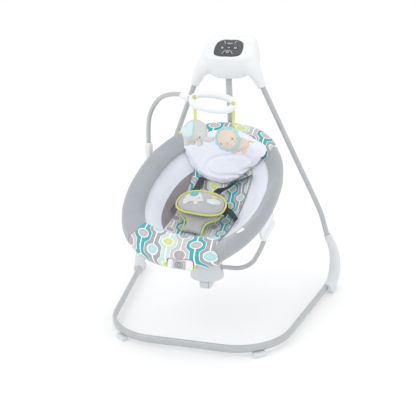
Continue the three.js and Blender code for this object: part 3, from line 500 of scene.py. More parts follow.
def ribbed(name, code, pitch, depth):
    """Cord or webbing, with ribs `pitch` mm apart."""
    s = Surface(name, srgb(code), 0.8, Sheen_Weight=0.15)
    s.shade(0.08, 160, detail=3)
    s.bump(s.wave(bands(pitch), "Y"), depth)
    s.bump(s.noise(700, detail=2), 0.15)
    return s.mat


def metal(name, code, roughness):
    s = Surface(name, srgb(code), roughness, Metallic=1.0)
    s.shade(0.04, 80, detail=3).rough(roughness - 0.08, roughness + 0.08, 200)
    s.bump(s.noise(600, detail=1, stretch=(1, 0.05, 1)), 0.02)
    return s.mat


M = {
    "paint": painted("tube_paint", "b9bcbe"),
    "white": plastic("white_plastic", "e8eaec", 0.34),
    "pale": plastic("pale_grey_plastic", "d9dde0", 0.45),
    "dark": plastic("charcoal_plastic", "48494d", 0.3, 0.01),
    "icon": plastic("icon_ink", "e4e6e8", 0.5, 0.01),
    "key": plastic("grey_key", "b9bcbf", 0.5),
    "plush": pile("grey_plush", "a6aab0", 0.05),
    "brown": pile("brown_grey_velour", "8f8a8e", 0.09, 0.35),
    "knit": knit("white_knit", "eceffa"),
    "lining": knit("lining_knit", "eff2fc", dots=False),
    "print": printed("bead_chain_print"),
    "pad": pile("pad_velour", "b7b7bb", 0.06, 0.35),
    "lime": ribbed("lime_piping", "d3da78", 1.2, 0.2),
    "grey_cord": ribbed("grey_piping", "a7a5aa", 1.2, 0.2),
    "web": ribbed("charcoal_webbing", "3a3a3d", 2.0, 0.4),
    "cream": pile("cream_applique", "d9d9d8", 0.04, 0.3),
    "aqua": pile("aqua_plush", "cfeaea", 0.05, 0.4),
    "mane": pile("mane_plush", "a6d6dc", 0.06, 0.6),
    "teal": pile("teal_applique", "5fb6c0", 0.04, 0.2),
    "elephant": pile("elephant_plush", "d6d6d5", 0.05, 0.7),
    "lion": pile("lion_plush", "e2d3c4", 0.05, 0.7),
    "pink": pile("pink_felt", "f29a96", 0.03, 0.2),
    "eye": plastic("eye_bead", "26262a", 0.15, 0.005),
    "ribbon": ribbed("lime_ribbon", "d9df84", 1.0, 0.15),
    "limeplastic": plastic("lime_plastic", "ccd36c", 0.4),
    "label": ribbed("white_tape", "f4f6f4", 0.8, 0.1),
    "steel": metal("bright_steel", "c9c9c9", 0.3),
    "copper": metal("copper_wire", "b87333", 0.4),
    "board": plastic("board_green", "2e6a3e", 0.5),
    "cell": plastic("cell_wrap", "30506a", 0.35),
}

# ---------------------------------------------------------------- camera, light and floor
def look_from(position, azimuth, pitch, roll, lens):
    """A camera turned by azimuth from +Y towards -X, pitched down and rolled, all in degrees."""
    a, p, r = (math.radians(v) for v in (azimuth, pitch, roll))
    level = Vector((-math.sin(a), math.cos(a), 0))
    right = Vector((math.cos(a), math.sin(a), 0))
    ahead = level * math.cos(p) - Vector((0, 0, math.sin(p)))
    up = level * math.sin(p) + Vector((0, 0, math.cos(p)))
    turned_right = right * math.cos(r) + up * math.sin(r)
    turned_up = up * math.cos(r) - right * math.sin(r)
    data = bpy.data.cameras.new("camera")
    data.lens, data.sensor_width = lens, 36
    cam = bpy.data.objects.new("camera", data)
    axes = Matrix((turned_right, turned_up, -ahead)).transposed().to_4x4()
    cam.matrix_world = Matrix.Translation(position) @ axes
    bpy.context.scene.collection.objects.link(cam)
    bpy.context.scene.camera = cam


LAMP_TARGET = (0, 0, 0.45)


def area_light(name, position, size, power):
    data = bpy.data.lights.new(name, "AREA")
    data.shape, data.size, data.energy = "DISK", size, power
    lamp = bpy.data.objects.new(name, data)
    lamp.location = position
    lamp.rotation_euler = (Vector(LAMP_TARGET) - Vector(position)).to_track_quat("-Z", "Y").to_euler()
    bpy.context.scene.collection.objects.link(lamp)


def make_studio():
    look_from((0.8885, -2.8324 + SHIFT_Y / 1000, 1.4919), 17.646, 20.303, -1.733, 77.9)
    bpy.context.scene.view_settings.view_transform = "Standard"
    sky = bpy.data.worlds.new("studio")
    sky.use_nodes = True
    sky.node_tree.nodes["Background"].inputs["Color"].default_value = (1, 1, 1, 1)
    sky.node_tree.nodes["Background"].inputs["Strength"].default_value = 1.0
    bpy.context.scene.world = sky
    area_light("key", (-1.6, -2.2, 2.9), 2.2, 15)
    area_light("fill", (2.4, -1.4, 1.6), 2.4, 3)
    area_light("top", (0.2, 0.6, 3.0), 1.8, 5)
    finish = Surface("floor", (1.0, 1.0, 1.0), 0.8)
    finish.shade(0.004, 3)
    ground = add_mesh("floor", [(-9, -9, 0), (9, -9, 0), (9, 9, 0), (-9, 9, 0)], [(0, 1, 2, 3)], finish.mat)


# ---------------------------------------------------------------- floor frame and legs
def floor_path():
    front, half, corner, flare, back = -324, 130, 190, math.radians(8.5), 236
    side = [[0, front, 29]]
    for i in range(8):
        angle = -math.pi / 2 + (math.pi / 2 - flare) * i / 7
        side.append([half + corner * math.cos(angle), front + corner + corner * math.sin(angle), 29])
    x, y = side[-1][:2]
    for i in range(1, 5):
        run = (back - y) * i / 4
        side.append([x + run * math.tan(flare), y + run, 29])
    return [[-x, y, z] for x, y, z in side[:0:-1]] + side


def leg_path(side):
    top, foot = np.array(LEG_TOP, float), np.array(LEG_FOOT, float)
    start = top + unit(top - foot) * 55
    points = [start, top, top + (foot - top) * 0.5, foot, (346, 306, 250), (355, 309, 214), (362, 310, 186)]
    return [(side * x, y, z) for x, y, z in points]


def heel_connector(name, side):
    path = [(359, 309.5, 204), (366, 310, 188), (375, 310, 168), (386, 308, 138), (392, 300, 98)]
    path += [(393, 282, 60), (389, 252, 37), (379, 208, 29)]
    line = world(spline([(side * x, y, z) for x, y, z in path], 60))
    t = np.linspace(0, 1, 60)
    bulge = 13 + 4 * t + 5 * np.sin(np.pi * t**1.3)
    body = sweep("heel", line, np.column_stack([bulge + 1, bulge]), sides=32)
    pad = box_between("pad", (side * 390 - 14, 224, 0), (side * 390 + 14, 300, 26))
    modify(pad, "BEVEL", width=0.009, segments=4, limit_method="NONE")
    heel = fuse(f"{name}_heel", [body, pad], M["pale"], 2.0, 8)
    above = box_between("above", (-600, -600, 0), (600, 600, 900))
    floor_line = world(spline(floor_path(), 90))
    tools = [
        sweep("bore", world(spline(leg_path(side), 40)), 10.0, sides=28),
        sweep("bore", floor_line, (8.5, 14.0), sides=28, frames=upright_frames(floor_line)),
    ]
    cut(heel, above, operation="INTERSECT")
    cut(heel, *tools)
    return place(smooth_shade(heel), "stand", f"{name}_heel_connector")


def make_stand():
    line = world(spline(floor_path(), 160))
    tube = sweep("floor_tube", line, (8, 13.5), M["paint"], 32, frames=upright_frames(line), power=2.4)
    place(tube, "stand", "base_tube")
    for name, side in SIDES:
        leg = sweep(f"{name}_leg", world(spline(leg_path(side), 70)), 9.5, M["paint"], 28)
        place(leg, "stand", f"{name}_leg_tube")
        heel_connector(name, side)
        low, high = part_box(f"{name}_front_foot")
        centre = np.array((low + high) / 2)
        spin = spin_z(math.radians(38 * side))
        foot = rounded_block(
            f"{name}_foot", (46, 24, (high.z - low.z) * 1000), 5, M["pale"],
            lambda v: v @ spin.T / 1000 + centre,
        )
        place(foot, "stand", f"{name}_front_foot")


# ---------------------------------------------------------------- drive housing
HOUSING = [
    (803, 46, 234, 336), (808, 64, 229, 340), (818, 79, 225, 344), (833, 94, 222, 346), (856, 105, 220, 348),
    (876, 106, 221, 349), (884, 105, 226, 349), (908, 98, 262.5, 349.6), (931, 87, 297.5, 347.5),
    (938, 79, 308, 344), (943, 64, 318, 334),
]
HORN = [
    (0, 0, 0, 16.5, 16.5), (22, 1.5, 0, 19, 18), (45, 3, 2, 22, 20), (70, 9, 8, 31, 24), (95, 16, 18, 36, 28),
    (125, 18, 35, 32, 26), (150, 24, 55, 16, 14),
]
DOOR = {"half": 55, "low": 876, "high": 930, "gap": 0.6}
PANEL = {"half": (53, 42), "at": (0, 262.6, 908), "lean": math.radians(57)}


def housing_form(name, inset=0):
    rows = np.array(HOUSING, float)
    rows[:, 0] = np.clip(rows[:, 0], 803 + inset, 943 - inset)
    angle = full_turn(96)
    loops = []
    for z, width, front, back in rows:
        xy = oval(width - inset, (back - front) / 2 - inset, angle, 3)
        loops.append(np.column_stack([xy[:, 0], xy[:, 1] + (front + back) / 2, np.full(96, z)]))
    return loft(name, world(loops))


def leg_axis():
    top = np.array(LEG_TOP, float)
    return top, unit(top - np.array(LEG_FOOT))


def horn(side):
    """A leg's socket, widening up and inwards until it runs into the housing's side."""
    top, up = leg_axis()
    outward = unit(np.array([1, 0, 0]) - up * up[0])
    deep = np.cross(outward, up)
    loops = []
    for along, inwards, back, half_width, half_depth in spline(HORN, 26):
        ring = section(half_width, half_depth, 40)
        centre = top + up * along - outward * inwards + (0, back, 0)
        loops.append(centre + ring[:, :1] * outward + ring[:, 1:] * deep)
    return loft("horn", world(np.array(loops) * (side, 1, 1)))


def half_space(name, sign):
    """A block that holds the housing's front (-1) or rear (1), just clear of the parting line."""
    half, gap = 300, 0.4
    middle = PARTING_Y + sign * (half + gap)
    return box_between(name, (-half, middle - half, 700), (half, middle + half, 1100))


def duplicate(obj):
    twin = obj.copy()
    twin.data = obj.data.copy()
    bpy.context.scene.collection.objects.link(twin)
    return twin


def make_housing():
    outer = fuse("housing", [housing_form("form"), horn(-1), horn(1)], M["white"], 2.4, 10)
    tools = [
        housing_form("hollow", 5.0),
        box_between("slot", (-30, 234, 780), (30, 278, 815)),
        *(sweep("bore", world(spline(leg_path(s), 40)), 10.0, sides=28) for s in (-1, 1)),
    ]
    cut(outer, *tools)
    whole = surface_of(outer)
    door_hole = box_between("door_hole", (-DOOR["half"], 320, DOOR["low"]), (DOOR["half"], 380, DOOR["high"]))
    back, door = duplicate(outer), duplicate(outer)
    cut(outer, half_space("front_half", -1), operation="INTERSECT")
    cut(back, half_space("rear_half", 1), operation="INTERSECT")
    cut(back, door_hole)
    half, low, high = DOOR["half"] - DOOR["gap"], DOOR["low"] + DOOR["gap"], DOOR["high"] - DOOR["gap"]
    door_body = box_between("door_body", (-half, 330, low), (half, 380, high))
    cut(door, door_body, operation="INTERSECT")
    for obj, name, node in (
        (outer, "housing_front", "housing_front_shell"),
        (back, "housing_rear", "housing_rear_shell"),
        (door, "battery_cover", "battery_door"),
    ):
        obj.name = name
        smooth_shade(obj)
        body = "battery_door_body" if node == "battery_door" else "stand"
        place(obj, body, node)
    make_panel(whole)


def surface_of(obj):
    graph = bpy.context.evaluated_depsgraph_get()
    return BVHTree.FromObject(obj, graph)


def panel_point(x, up):
    """A point of the sloping panel's plane, in the swing's millimetres."""
    lean = math.pi / 2 - PANEL["lean"]
    _, y, z = PANEL["at"]
    return np.array([x, y + up * math.cos(lean), z + up * math.sin(lean)])


PANEL_OUT = np.array([0, -math.cos(PANEL["lean"]), math.sin(PANEL["lean"])])


def on_panel(tree, x, up, lift):
    """The housing's surface under a point of the panel, raised by `lift` mm, in metres."""
    start = world(panel_point(x, up) + PANEL_OUT * 40)
    hit = tree.ray_cast(Vector(start), Vector(-PANEL_OUT))[0]
    return np.array(hit) + PANEL_OUT * lift / 1000


def panel_outline():
    w, h = PANEL["half"]
    right = [(0, 1), (0.5, 1), (0.88, 0.68), (1, -0.1), (0.88, -0.78), (0.45, -1), (0, -1)]
    corners = right + [(-x, y) for x, y in right[-2:0:-1]]
    return spline([(x * w, y * h) for x, y in corners], 72, closed=True)


def plate_on_panel(name, tree, outline, low, high, mat):
    """A thin plate with that outline, from `low` to `high` mm proud of the housing."""
    shrink = [(1, low), (1, high - 0.4), (0.985, high), (0.7, high), (0.35, high), (0.02, high)]
    loops = [[on_panel(tree, *(p * k), lift) for p in outline] for k, lift in shrink]
    loops.insert(0, [on_panel(tree, *(p * 0.02), low) for p in outline])
    return loft(name, loops, mat)


def line_on_panel(name, tree, points, width, lift, mat):
    path = np.array([on_panel(tree, x, up, lift) for x, up in spline(points, 6 * len(points))])
    return sweep(name, path, (width / 2, 0.25), mat, 8, frames=panel_frames(path))


def panel_frames(path):
    level = unit(np.cross(unit(np.gradient(path, axis=0)), PANEL_OUT))
    return level, np.broadcast_to(PANEL_OUT, level.shape)


def arc(cx, cy, r, start, end, count=7):
    angle = np.radians(np.linspace(start, end, count))
    return np.column_stack([cx + r * np.cos(angle), cy + r * np.sin(angle)])


PANEL_KEYS = {
    "swing_speed": (0, 21, 15, 5.5), "timer": (-24, 0, 7, 5), "melody": (0, 0, 7, 5), "volume": (24, 0, 7, 5),
    "power": (0, -21, 12, 6),
}
KEY_ICONS = {
    "swing_speed": [arc(0, 33, 14, 222, 318, 9), arc(0, 33, 9.5, 230, 310, 7)],
    "timer": [arc(-24, 0, 3.6, 60, 400, 12), [(-24, 2), (-24, 0), (-22, -1)]],
    "melody": [
        [(-2, -2.6), (-2, 0), (-2, 3)], [(-2, 3), (0.6, 2.6), (3.2, 3.4)],
        [(3.2, 3.4), (3.2, 0), (3.2, -2)],
    ],
    "volume": [
        [(20, -1), (20, 1.5), (23, 3), (23, -2.6), (20, -1)],
        arc(23, 0.2, 3.2, -50, 50, 5), arc(23, 0.2, 5.4, -50, 50, 6),
    ],
    "power": [arc(0, -21.5, 4.2, -235, 55, 12), [(0, -16), (0, -18), (0, -20.5)]],
}
PANEL_PRINT = [
    [(-24, 36), (-19, 28), (-17, 19)], [(24, 36), (19, 28), (17, 19)],
    [(-19, -30), (-16, -22), (-9, -14), (0, -11.5), (9, -14), (16, -22), (19, -30)],
]


def key_column(name, tree, key, grow, lifts, mat=None):
    """A key's outline carried through the given heights over the panel; each has its own inset."""
    x, up, w, h = PANEL_KEYS[key]
    outline = oval(w + grow, h + grow, full_turn(28), 4)
    loops = [[on_panel(tree, *(p * k + (x, up)), lift) for p in outline] for k, lift in lifts]
    return loft(name, loops, mat)


def make_panel(tree):
    panel = plate_on_panel("panel_face", tree, panel_outline(), 0.15, 1.6, M["dark"])
    through = [(0.05, -2), (1, -2), (1, 4), (0.05, 4)]
    holes = [key_column("hole", tree, key, 0.5, through) for key in PANEL_KEYS]
    cut(panel, *holes)
    place(panel, "stand", "control_panel")
    for i, points in enumerate(PANEL_PRINT):
        place(line_on_panel(f"panel_print_{i}", tree, points, 1.5, 1.65, M["icon"]), "stand")
    for key, icons in KEY_ICONS.items():
        dome = [(0.05, -1), (1, -1), (1, 1.9), (0.96, 2.15), (0.5, 2.2), (0.05, 2.2)]
        cap = key_column(f"{key}_cap", tree, key, 0, dome, M["dark"])
        place(cap, f"{key}_key", f"{key}_button")
        for i, points in enumerate(icons):
            place(line_on_panel(f"{key}_icon_{i}", tree, points, 1.5, 2.25, M["icon"]), f"{key}_key")


# ---------------------------------------------------------------- arm and hub
ARM_PATH = [
    (0, 256, 846), (0, 256, 780), (0, 268, 650), (0, 269, 500), (0, 262, 400),
    (0, 228, 290), (0, 165, 200), (0, 90, 158), (0, 20, 151), (0, -48, 151),
]
HUB_Y = -71


def make_arm():
    arm = sweep("arm", world(spline(ARM_PATH, 140)), 11.5, M["paint"], 32)
    place(arm, "swing", "swing_arm_tube")
    profile = [
        (2, 187), (14.5, 187), (15.6, 186), (15.6, 172), (20, 171), (20, 188), (44, 188),
        (52, 179), (55, 168), (56, 165), (58, 163.4), (59.5, 165), (60, 172), (59, 180),
        (57, 190), (54, 204), (50, 215), (42, 221), (30, 223), (2, 224),
    ]
    hub = turned("hub_bell", profile, (0, HUB_Y, 0), M["pale"], 72, 0.9)
    axle = sweep("axle", world([(-90, HUB_Y, 204), (90, HUB_Y, 204)]), 8.4, sides=32)
    slot = box_between("slot", (-13, HUB_Y + 43, 165), (13, HUB_Y + 62, 186))
    post = sweep("post", world([(0, HUB_Y, 150), (0, HUB_Y, 186)]), 15.4, sides=32)
    cut(hub, axle, slot, post)
    place(smooth_shade(hub), "hub", "seat_hub")
    stem = rounded_block("socket", (42, 68, 36), 8, M["pale"], lambda v: world(v + (0, HUB_Y, 145)), 1.0)
    post = sweep("post", world([(0, HUB_Y, 158), (0, HUB_Y, 184)]), 15, sides=40)
    bore = sweep("bore", world(spline(ARM_PATH, 140)), 11.8, sides=28)
    slot = box_between("slot", (-15, HUB_Y - 42, 132), (15, HUB_Y - 28, 158))
    cut(stem, post, operation="UNION")
    cut(stem, bore, slot)
    place(smooth_shade(stem), "swing", "arm_socket")
    for node, body, size, at in (
        ("swivel_release", "swivel_release_body", (28, 24, 10), (0, HUB_Y - 34.5, 145)),
        ("recline_lever", "recline_lever_body", (24, 17, 12), (0, HUB_Y + 50.5, 175.5)),
    ):
        key = rounded_block(f"{node}_key", size, 2.5, M["pale"], lambda v: world(v[:, [0, 2, 1]] + at))
        place(key, body, node)


# ---------------------------------------------------------------- seat frame
def cradle_path():
    half = [
        (20, HUB_Y, 204), (70, HUB_Y, 204), (118, HUB_Y, 208), (150, HUB_Y, 222), (175, -72, 243),
        (198, -75, 280), (217, -79, 320), (231, -85, 360), (237, -88, 384),
    ]
    path = np.array([(-x, y, z) for x, y, z in half[::-1]] + half, float)
    share = np.clip((np.abs(path[:, 0]) - 70) / 130, 0, 1)
    c, s = np.cos(SEAT_SPIN * share), np.sin(SEAT_SPIN * share)
    x, y = path[:, 0], path[:, 1] - HUB_Y
    return np.column_stack([x * c - y * s - 3 * share, HUB_Y + x * s + y * c, path[:, 2]])


def ring_line(start, end):
    angle = np.radians(np.linspace(start, end, 80))
    xy = oval(RING["a"], RING["b"], angle)
    return seat(np.column_stack([xy, np.full(80, RING["z"])]))


def make_seat_frame():
    cradle = sweep("cradle", world(spline(cradle_path(), 140)), 8, M["paint"], 28)
    place(cradle, "seat", "cradle_tube")
    for name, start, end in (("head", -8, 188), ("foot", 188.3, 351.7)):
        half = sweep(f"{name}_ring", ring_line(start, end), 8, M["paint"], 20)
        place(half, "seat", f"{name}_ring_tube")
    for name, side in SIDES:
        spin = spin_z(math.radians(-5.3 * side))
        blocks = [
            rounded_block("block", size, bevel, None, lambda v: seat(v @ spin.T + (side * x, y, z)))
            for size, bevel, (x, y, z) in (
                ((16, 96, 62), 5, (235.5, -55, -36)), ((24, 88, 29), 9, (238, -57, -80.5)),
            )
        ]
        bracket = fuse(f"{name}_bracket", blocks, M["white"], 2.0, 5)
        place(bracket, "seat", f"{name}_side_bracket")
    x, y = -259, 92
    body = rounded_block("clip", (24, 30, 112), 8, None, lambda v: world(v + (x, y, 536)))
    foot = rounded_block("foot", (64, 24, 7), 3, None, lambda v: seat(v + (-240, 112, -71)))
    post = rounded_block("post", (16, 24, 56), 5, None, lambda v: seat(v + (-222, 112, -44)))
    clip = fuse("toy_bar_holder", [body, foot, post], M["white"], 2.0, 4)
    bore = sweep("bore", world([(x, y, 558), (x, y, 620)]), 8.5, sides=28)
    cut(clip, bore)
    place(smooth_shade(clip), "seat", "toy_bar_clip")


# ---------------------------------------------------------------- cloth
def ripple(points, scale, seed=0.0):
    """Smooth, repeatable unevenness between -1 and 1, with waves about `scale` long."""
    x, y, z = np.moveaxis(np.asarray(points, float) / scale * 2.2, -1, 0)
    first = np.sin(1.7 * x + 1.3 * np.sin(1.1 * y + seed) + seed)
    second = np.sin(2.3 * y + 0.9 * np.sin(1.9 * z + 2 * seed))
    third = np.sin(1.3 * z + 0.7 * x + 1.1 * np.sin(0.8 * x - y) + 3 * seed)
    return (first + second + third) / 3


def vertices(obj):
    co = np.empty(3 * len(obj.data.vertices))
    obj.data.vertices.foreach_get("co", co)
    return co.reshape(-1, 3)


def normals(obj):
    out = np.empty(3 * len(obj.data.vertices))
    obj.data.vertex_normals.foreach_get("vector", out)
    return out.reshape(-1, 3)


def move_vertices(obj, co):
    obj.data.vertices.foreach_set("co", np.ascontiguousarray(co).ravel())
    obj.data.update()


CLOTH_STEPS = 20


def inflate(obj, voxel, pressure, cap):
    """Swells a closed cushion as cloth under inner pressure, no point moving more than `cap` mm."""
    modify(obj, "REMESH", mode="VOXEL", voxel_size=voxel / 1000)
    start = vertices(obj)
    mod = obj.modifiers.new("cloth", "CLOTH")
    mod.settings.use_pressure = True
    mod.settings.uniform_pressure_force = pressure
    mod.settings.effector_weights.gravity = 0
    scene = bpy.context.scene
    for step in range(1, CLOTH_STEPS + 1):
        scene.frame_set(step)
    swollen = obj.evaluated_get(bpy.context.evaluated_depsgraph_get()).to_mesh()
    co = np.empty(3 * len(swollen.vertices))
    swollen.vertices.foreach_get("co", co)
    obj.modifiers.remove(mod)
    scene.frame_set(1)
    move = co.reshape(-1, 3) - start
    length = np.linalg.norm(move, axis=1, keepdims=True)
    limit = cap / 1000
    move *= limit * np.tanh(length / limit) / np.maximum(length, 1e-9)
    move_vertices(obj, start + move)
    modify(obj, "SMOOTH", factor=0.5, iterations=3)
    modify(obj, "SUBSURF", levels=1)
    return smooth_shade(obj)


def sew(obj, line, depth, width):
    """Presses a seam into a piece along a line of points in metres; depth and width in mm."""
    co, out = vertices(obj), normals(obj)
    line = np.asarray(line)
    gap = np.min(np.linalg.norm(co[:, None, :] - line[None, :, :], axis=2), axis=1)
    press = np.clip(1 - (gap / (width / 1000)) ** 2, 0, 1) ** 2
    move_vertices(obj, co - out * (press * depth / 1000)[:, None])


def cushion(name, outline, centre, lift, thick, mat):
    """A plump closed form over an outline in the seat's frame, bent onto z = lift(x, y)."""
    loops = []
    for angle in np.linspace(-np.pi / 2, np.pi / 2, 17):
        inset = max(0.03, math.cos(angle) ** 0.6)
        xy = centre + (outline - centre) * inset
        z = lift(xy[:, 0], xy[:, 1]) + math.sin(angle) * thick / 2
        loops.append(np.column_stack([xy, z]))
    return loft(name, seat(loops), mat)


SEAT_OUT = Vector(SEAT_TURN @ (0, 0, 1))


DROP_HEIGHT = 150


def dropped(tree, points, lift):
    """Points of the seat's plane laid on a surface from above, raised by `lift` mm, in metres."""
    laid = []
    for x, y in points:
        start = Vector(seat((x, y, DROP_HEIGHT)))
        hit, normal = tree.ray_cast(start, -SEAT_OUT)[:2]
        if hit is None:
            hit, normal = tree.find_nearest(start - SEAT_OUT * (DROP_HEIGHT + 30) / 1000)[:2]
        laid.append(np.array(hit + normal * (lift / 1000)))
    return np.array(laid)


def applique(name, tree, outline, mat, body, lift=0.2, thick=1.1, count=48):
    """A patch of cloth sewn on a soft piece."""
    xy = spline(outline, count, closed=True)
    centre = xy.mean(axis=0)
    rings = [(1, 0), (1, thick * 0.7), (0.95, thick), (0.7, thick), (0.4, thick), (0.05, thick)]
    loops = [dropped(tree, centre + (xy - centre) * k, lift + h) for k, h in rings]
    loops.insert(0, dropped(tree, centre + (xy - centre) * 0.05, lift))
    return place(loft(name, loops, mat), body)


# ---------------------------------------------------------------- seat shell
RIM = [
    (208, 252, -3), (222, 276, 14), (241, 304, 26), (256, 326, 23), (266, 338, 3),
    (265, 336, -18), (257, 325, -35), (252, 319, -32), (259, 331, -20), (260, 332.5, 0),
    (251, 321, 17), (241, 302, 18), (222, 274, 4), (211, 256, -8),
]


def bowl_reach(x, y):
    p = OVAL_POWER
    return (abs(x / BOWL["a"]) ** p + abs(y / BOWL["b"]) ** p) ** (1 / p)


def bowl_z(x, y):
    return BOWL["rim_z"] - BOWL["depth"] * (1 - np.minimum(1, bowl_reach(x, y)) ** BOWL["power"])


def rim_lean(x, reach):
    """The padding has slipped inwards: less of it outside the right tube, more inside the left one."""
    outside = np.clip((reach - 225) / 30, 0, 1)
    right = np.clip(x / 200, 0, 1) ** 2
    left = np.clip(-x / 200, 0, 1) ** 2
    return 15 * left * (1 - outside) - 14 * right * outside


def rim_panel(name, start, end, mat, seed, uv=False):
    """One cover of the padded rim, drawn over the ring from its inner edge and tucked back inside."""
    outline = spline(RIM, 72, closed=True)
    angles = np.radians(np.linspace(start, end, 84))
    half_widths = outline[:, :2].T
    loops = np.array([np.column_stack([oval(*half_widths, a), outline[:, 2]]) for a in angles])
    loops[..., 0] += rim_lean(loops[..., 0], outline[:, 0])
    outer = (np.arange(72) < 34)[None, :, None]
    middle = np.array([oval(238, 300, a).tolist() + [-16] for a in angles])[:, None, :]
    puff = 0.9 * ripple(loops, 70, seed) + 0.5 * ripple(loops, 24, seed + 1)
    ends = np.minimum(1, np.minimum(np.arange(84), np.arange(84)[::-1]) / 5) ** 0.5
    puff = (puff + 1.4) * ends[:, None]
    loops = loops + outer * unit(loops - middle) * puff[..., None]
    cloth = None
    if uv:
        run = arc_length(outline)
        across = np.broadcast_to(run, loops.shape[:2])
        cloth = np.stack([loops[..., 0] + 500, loops[..., 1] * 0.6 + across * 0.8], axis=-1)
    return loft(name, seat(loops), mat, uv=cloth)


def liner():
    """The bowl of the seat's lining: a padded band below the rim, then the smooth bottom."""
    count = 120
    angle = full_turn(count)

    def layer(f, drop, grow):
        xy = oval(BOWL["a"] * f + grow, BOWL["b"] * f + grow, angle)
        z = BOWL["rim_z"] - BOWL["depth"] * (1 - f ** BOWL["power"]) - drop
        return np.column_stack([xy, np.full(count, z)])

    fractions = np.linspace(1, 0.06, 34)
    inside = []
    for f in fractions:
        soft = 5.0 * math.sin(math.pi * min(1, max(0, (1 - f) / 0.22))) ** 0.8
        loop = layer(f, -soft * 0.5, -soft * 0.6)
        loop[:, 2] += 0.6 * ripple(loop, 60, 2.0)
        inside.append(loop)
    lip = layer(1, -7, 0.6)
    outside = [layer(f, 2 if f == 1 else 7 * (1 - f / 3), 7 * f) for f in fractions[::-1]]
    return loft("seat_lining", seat(outside + [layer(1, -5, 4)] + [lip] + inside), M["lining"])


def pad_half_width(y):
    return 108 - 14 * np.maximum(0, -y / 206) ** 2 - 30 * np.maximum(0, (y - 140) / 82) ** 2


def side_panel(name, side):
    """The velour panel between the centre pad and the white band of the lining."""
    loops = []
    for y in np.linspace(-150, 150, 60):
        edge = 152 * (1 - (abs(y) / 195) ** 2.2) ** (1 / 2.2)
        inner = pad_half_width(y) - 12
        x = np.linspace(inner, max(edge, inner + 3), 18)
        plump = np.sin(np.linspace(0, np.pi, 18)) ** 0.6
        top = bowl_z(x, y) + 1.2 + 5 * plump * min(1, (edge - inner) / 30)
        top = top + 0.9 * ripple(np.column_stack([x, np.full(18, y), top]), 30, 5.0 + side)
        upper = np.column_stack([side * x, np.full(18, y), top])
        lower = np.column_stack([side * x, np.full(18, y), bowl_z(x, y) + 0.8])[::-1]
        loops.append(np.vstack([upper, lower]))
    panel = loft(name, seat(loops), M["brown"])
    return place(panel, "seat")


def centre_top(x, y):
    share = np.clip(x / pad_half_width(y), -1, 1)
    crown = 4 + 12 * np.sqrt(1 - 0.8 * share**2)
    return bowl_z(x, y) + crown


def centre_pad():
    rows = np.linspace(222, -206, 110)
    loops, cloth = [], []
    for y in rows:
        x = pad_half_width(y) * np.sin(np.linspace(-np.pi / 2, np.pi / 2, 41))
        flat = np.column_stack([x, np.full(41, y), centre_top(x, y)])
        flat[:, 2] += 0.9 * ripple(flat, 42, 3.0) + 0.5 * np.sin(y / 9 + x / 40)
        under = np.column_stack([x, np.full(41, y), bowl_z(x, y) + 3])[::-1]
        loops.append(np.vstack([flat, under]))
    loops = np.array(loops)
    run = arc_length(loops[:, 20])
    stretch, skew, shift = 1.39, 0.27, 529.8
    for i in range(len(rows)):
        across = stretch * loops[i][:, 0] + skew * loops[i][:, 1] + shift
        cloth.append(np.column_stack([across, np.full(82, 600 - 1.3 * run[i])]))
    pad = loft("centre_cushion", seat(loops), M["print"], uv=cloth)
    place(pad, "seat", "centre_pad")
    for name, side in SIDES:
        y = np.linspace(216, -200, 60)
        x = side * (pad_half_width(y) - 0.5)
        edge = np.column_stack([x, y, bowl_z(x, y) + 6.5])
        cord = sweep(f"{name}_pad_piping", seat(edge), 1.8, M["grey_cord"], 12)
        place(cord, "seat")


def leg_rest():
    """Printed cloth over the foot of the rim, from a straight edge in the bowl over the front."""
    span = 90 - FOOT_EDGE - 0.4
    loops = []
    for share in np.linspace(-1, 1, 72):
        angle = math.radians(-90 + span * share)
        rim = np.array([(*oval(a, b, angle), z) for a, b, z in RIM])
        edge = np.array([135 * share, -196 - 22 * (1 - share**2), 2])
        middle = rim[2] * 0.55 + edge * 0.45 + (0, 0, 7)
        under = rim[11] * 0.55 + edge * 0.45 + (0, 0, -3)
        points = np.vstack([edge + (0, 0, 6), middle, rim[2:12], under, edge + (0, 0, -4)])
        loops.append(spline(points, 72, closed=True))
    loops = np.array(loops)
    top = (np.arange(72) < 36)[None, :, None]
    fold = 1.3 * ripple(loops, 48, 7.0) + 0.7 * ripple(loops, 20, 8.0)
    loops = loops + top * np.stack([0 * fold, -0.4 * fold, fold], axis=-1)
    run = np.array([arc_length(loop) for loop in loops])
    stretch, skew, skew_from, shift, start = 1.04, 0.24, 85, 535.5, 5
    across = stretch * (loops[..., 0] - skew * (run - skew_from)) + shift
    cloth = np.stack([across, run - start], axis=-1)
    cover = loft("leg_rest_cover", seat(loops), M["print"], uv=cloth)
    pocket = vibration_block(4)
    cut(cover, pocket)
    place(cover, "seat", "leg_rest")


# ---------------------------------------------------------------- pads of the seat
def pillow_base(x, y):
    climb = np.clip((bowl_reach(x, y) - 0.86) / 0.3, 0, 1)
    return bowl_z(x, y) + 18 + 12 * climb**2 * (3 - 2 * climb)


PILLOW_AT = np.array([0, 195])


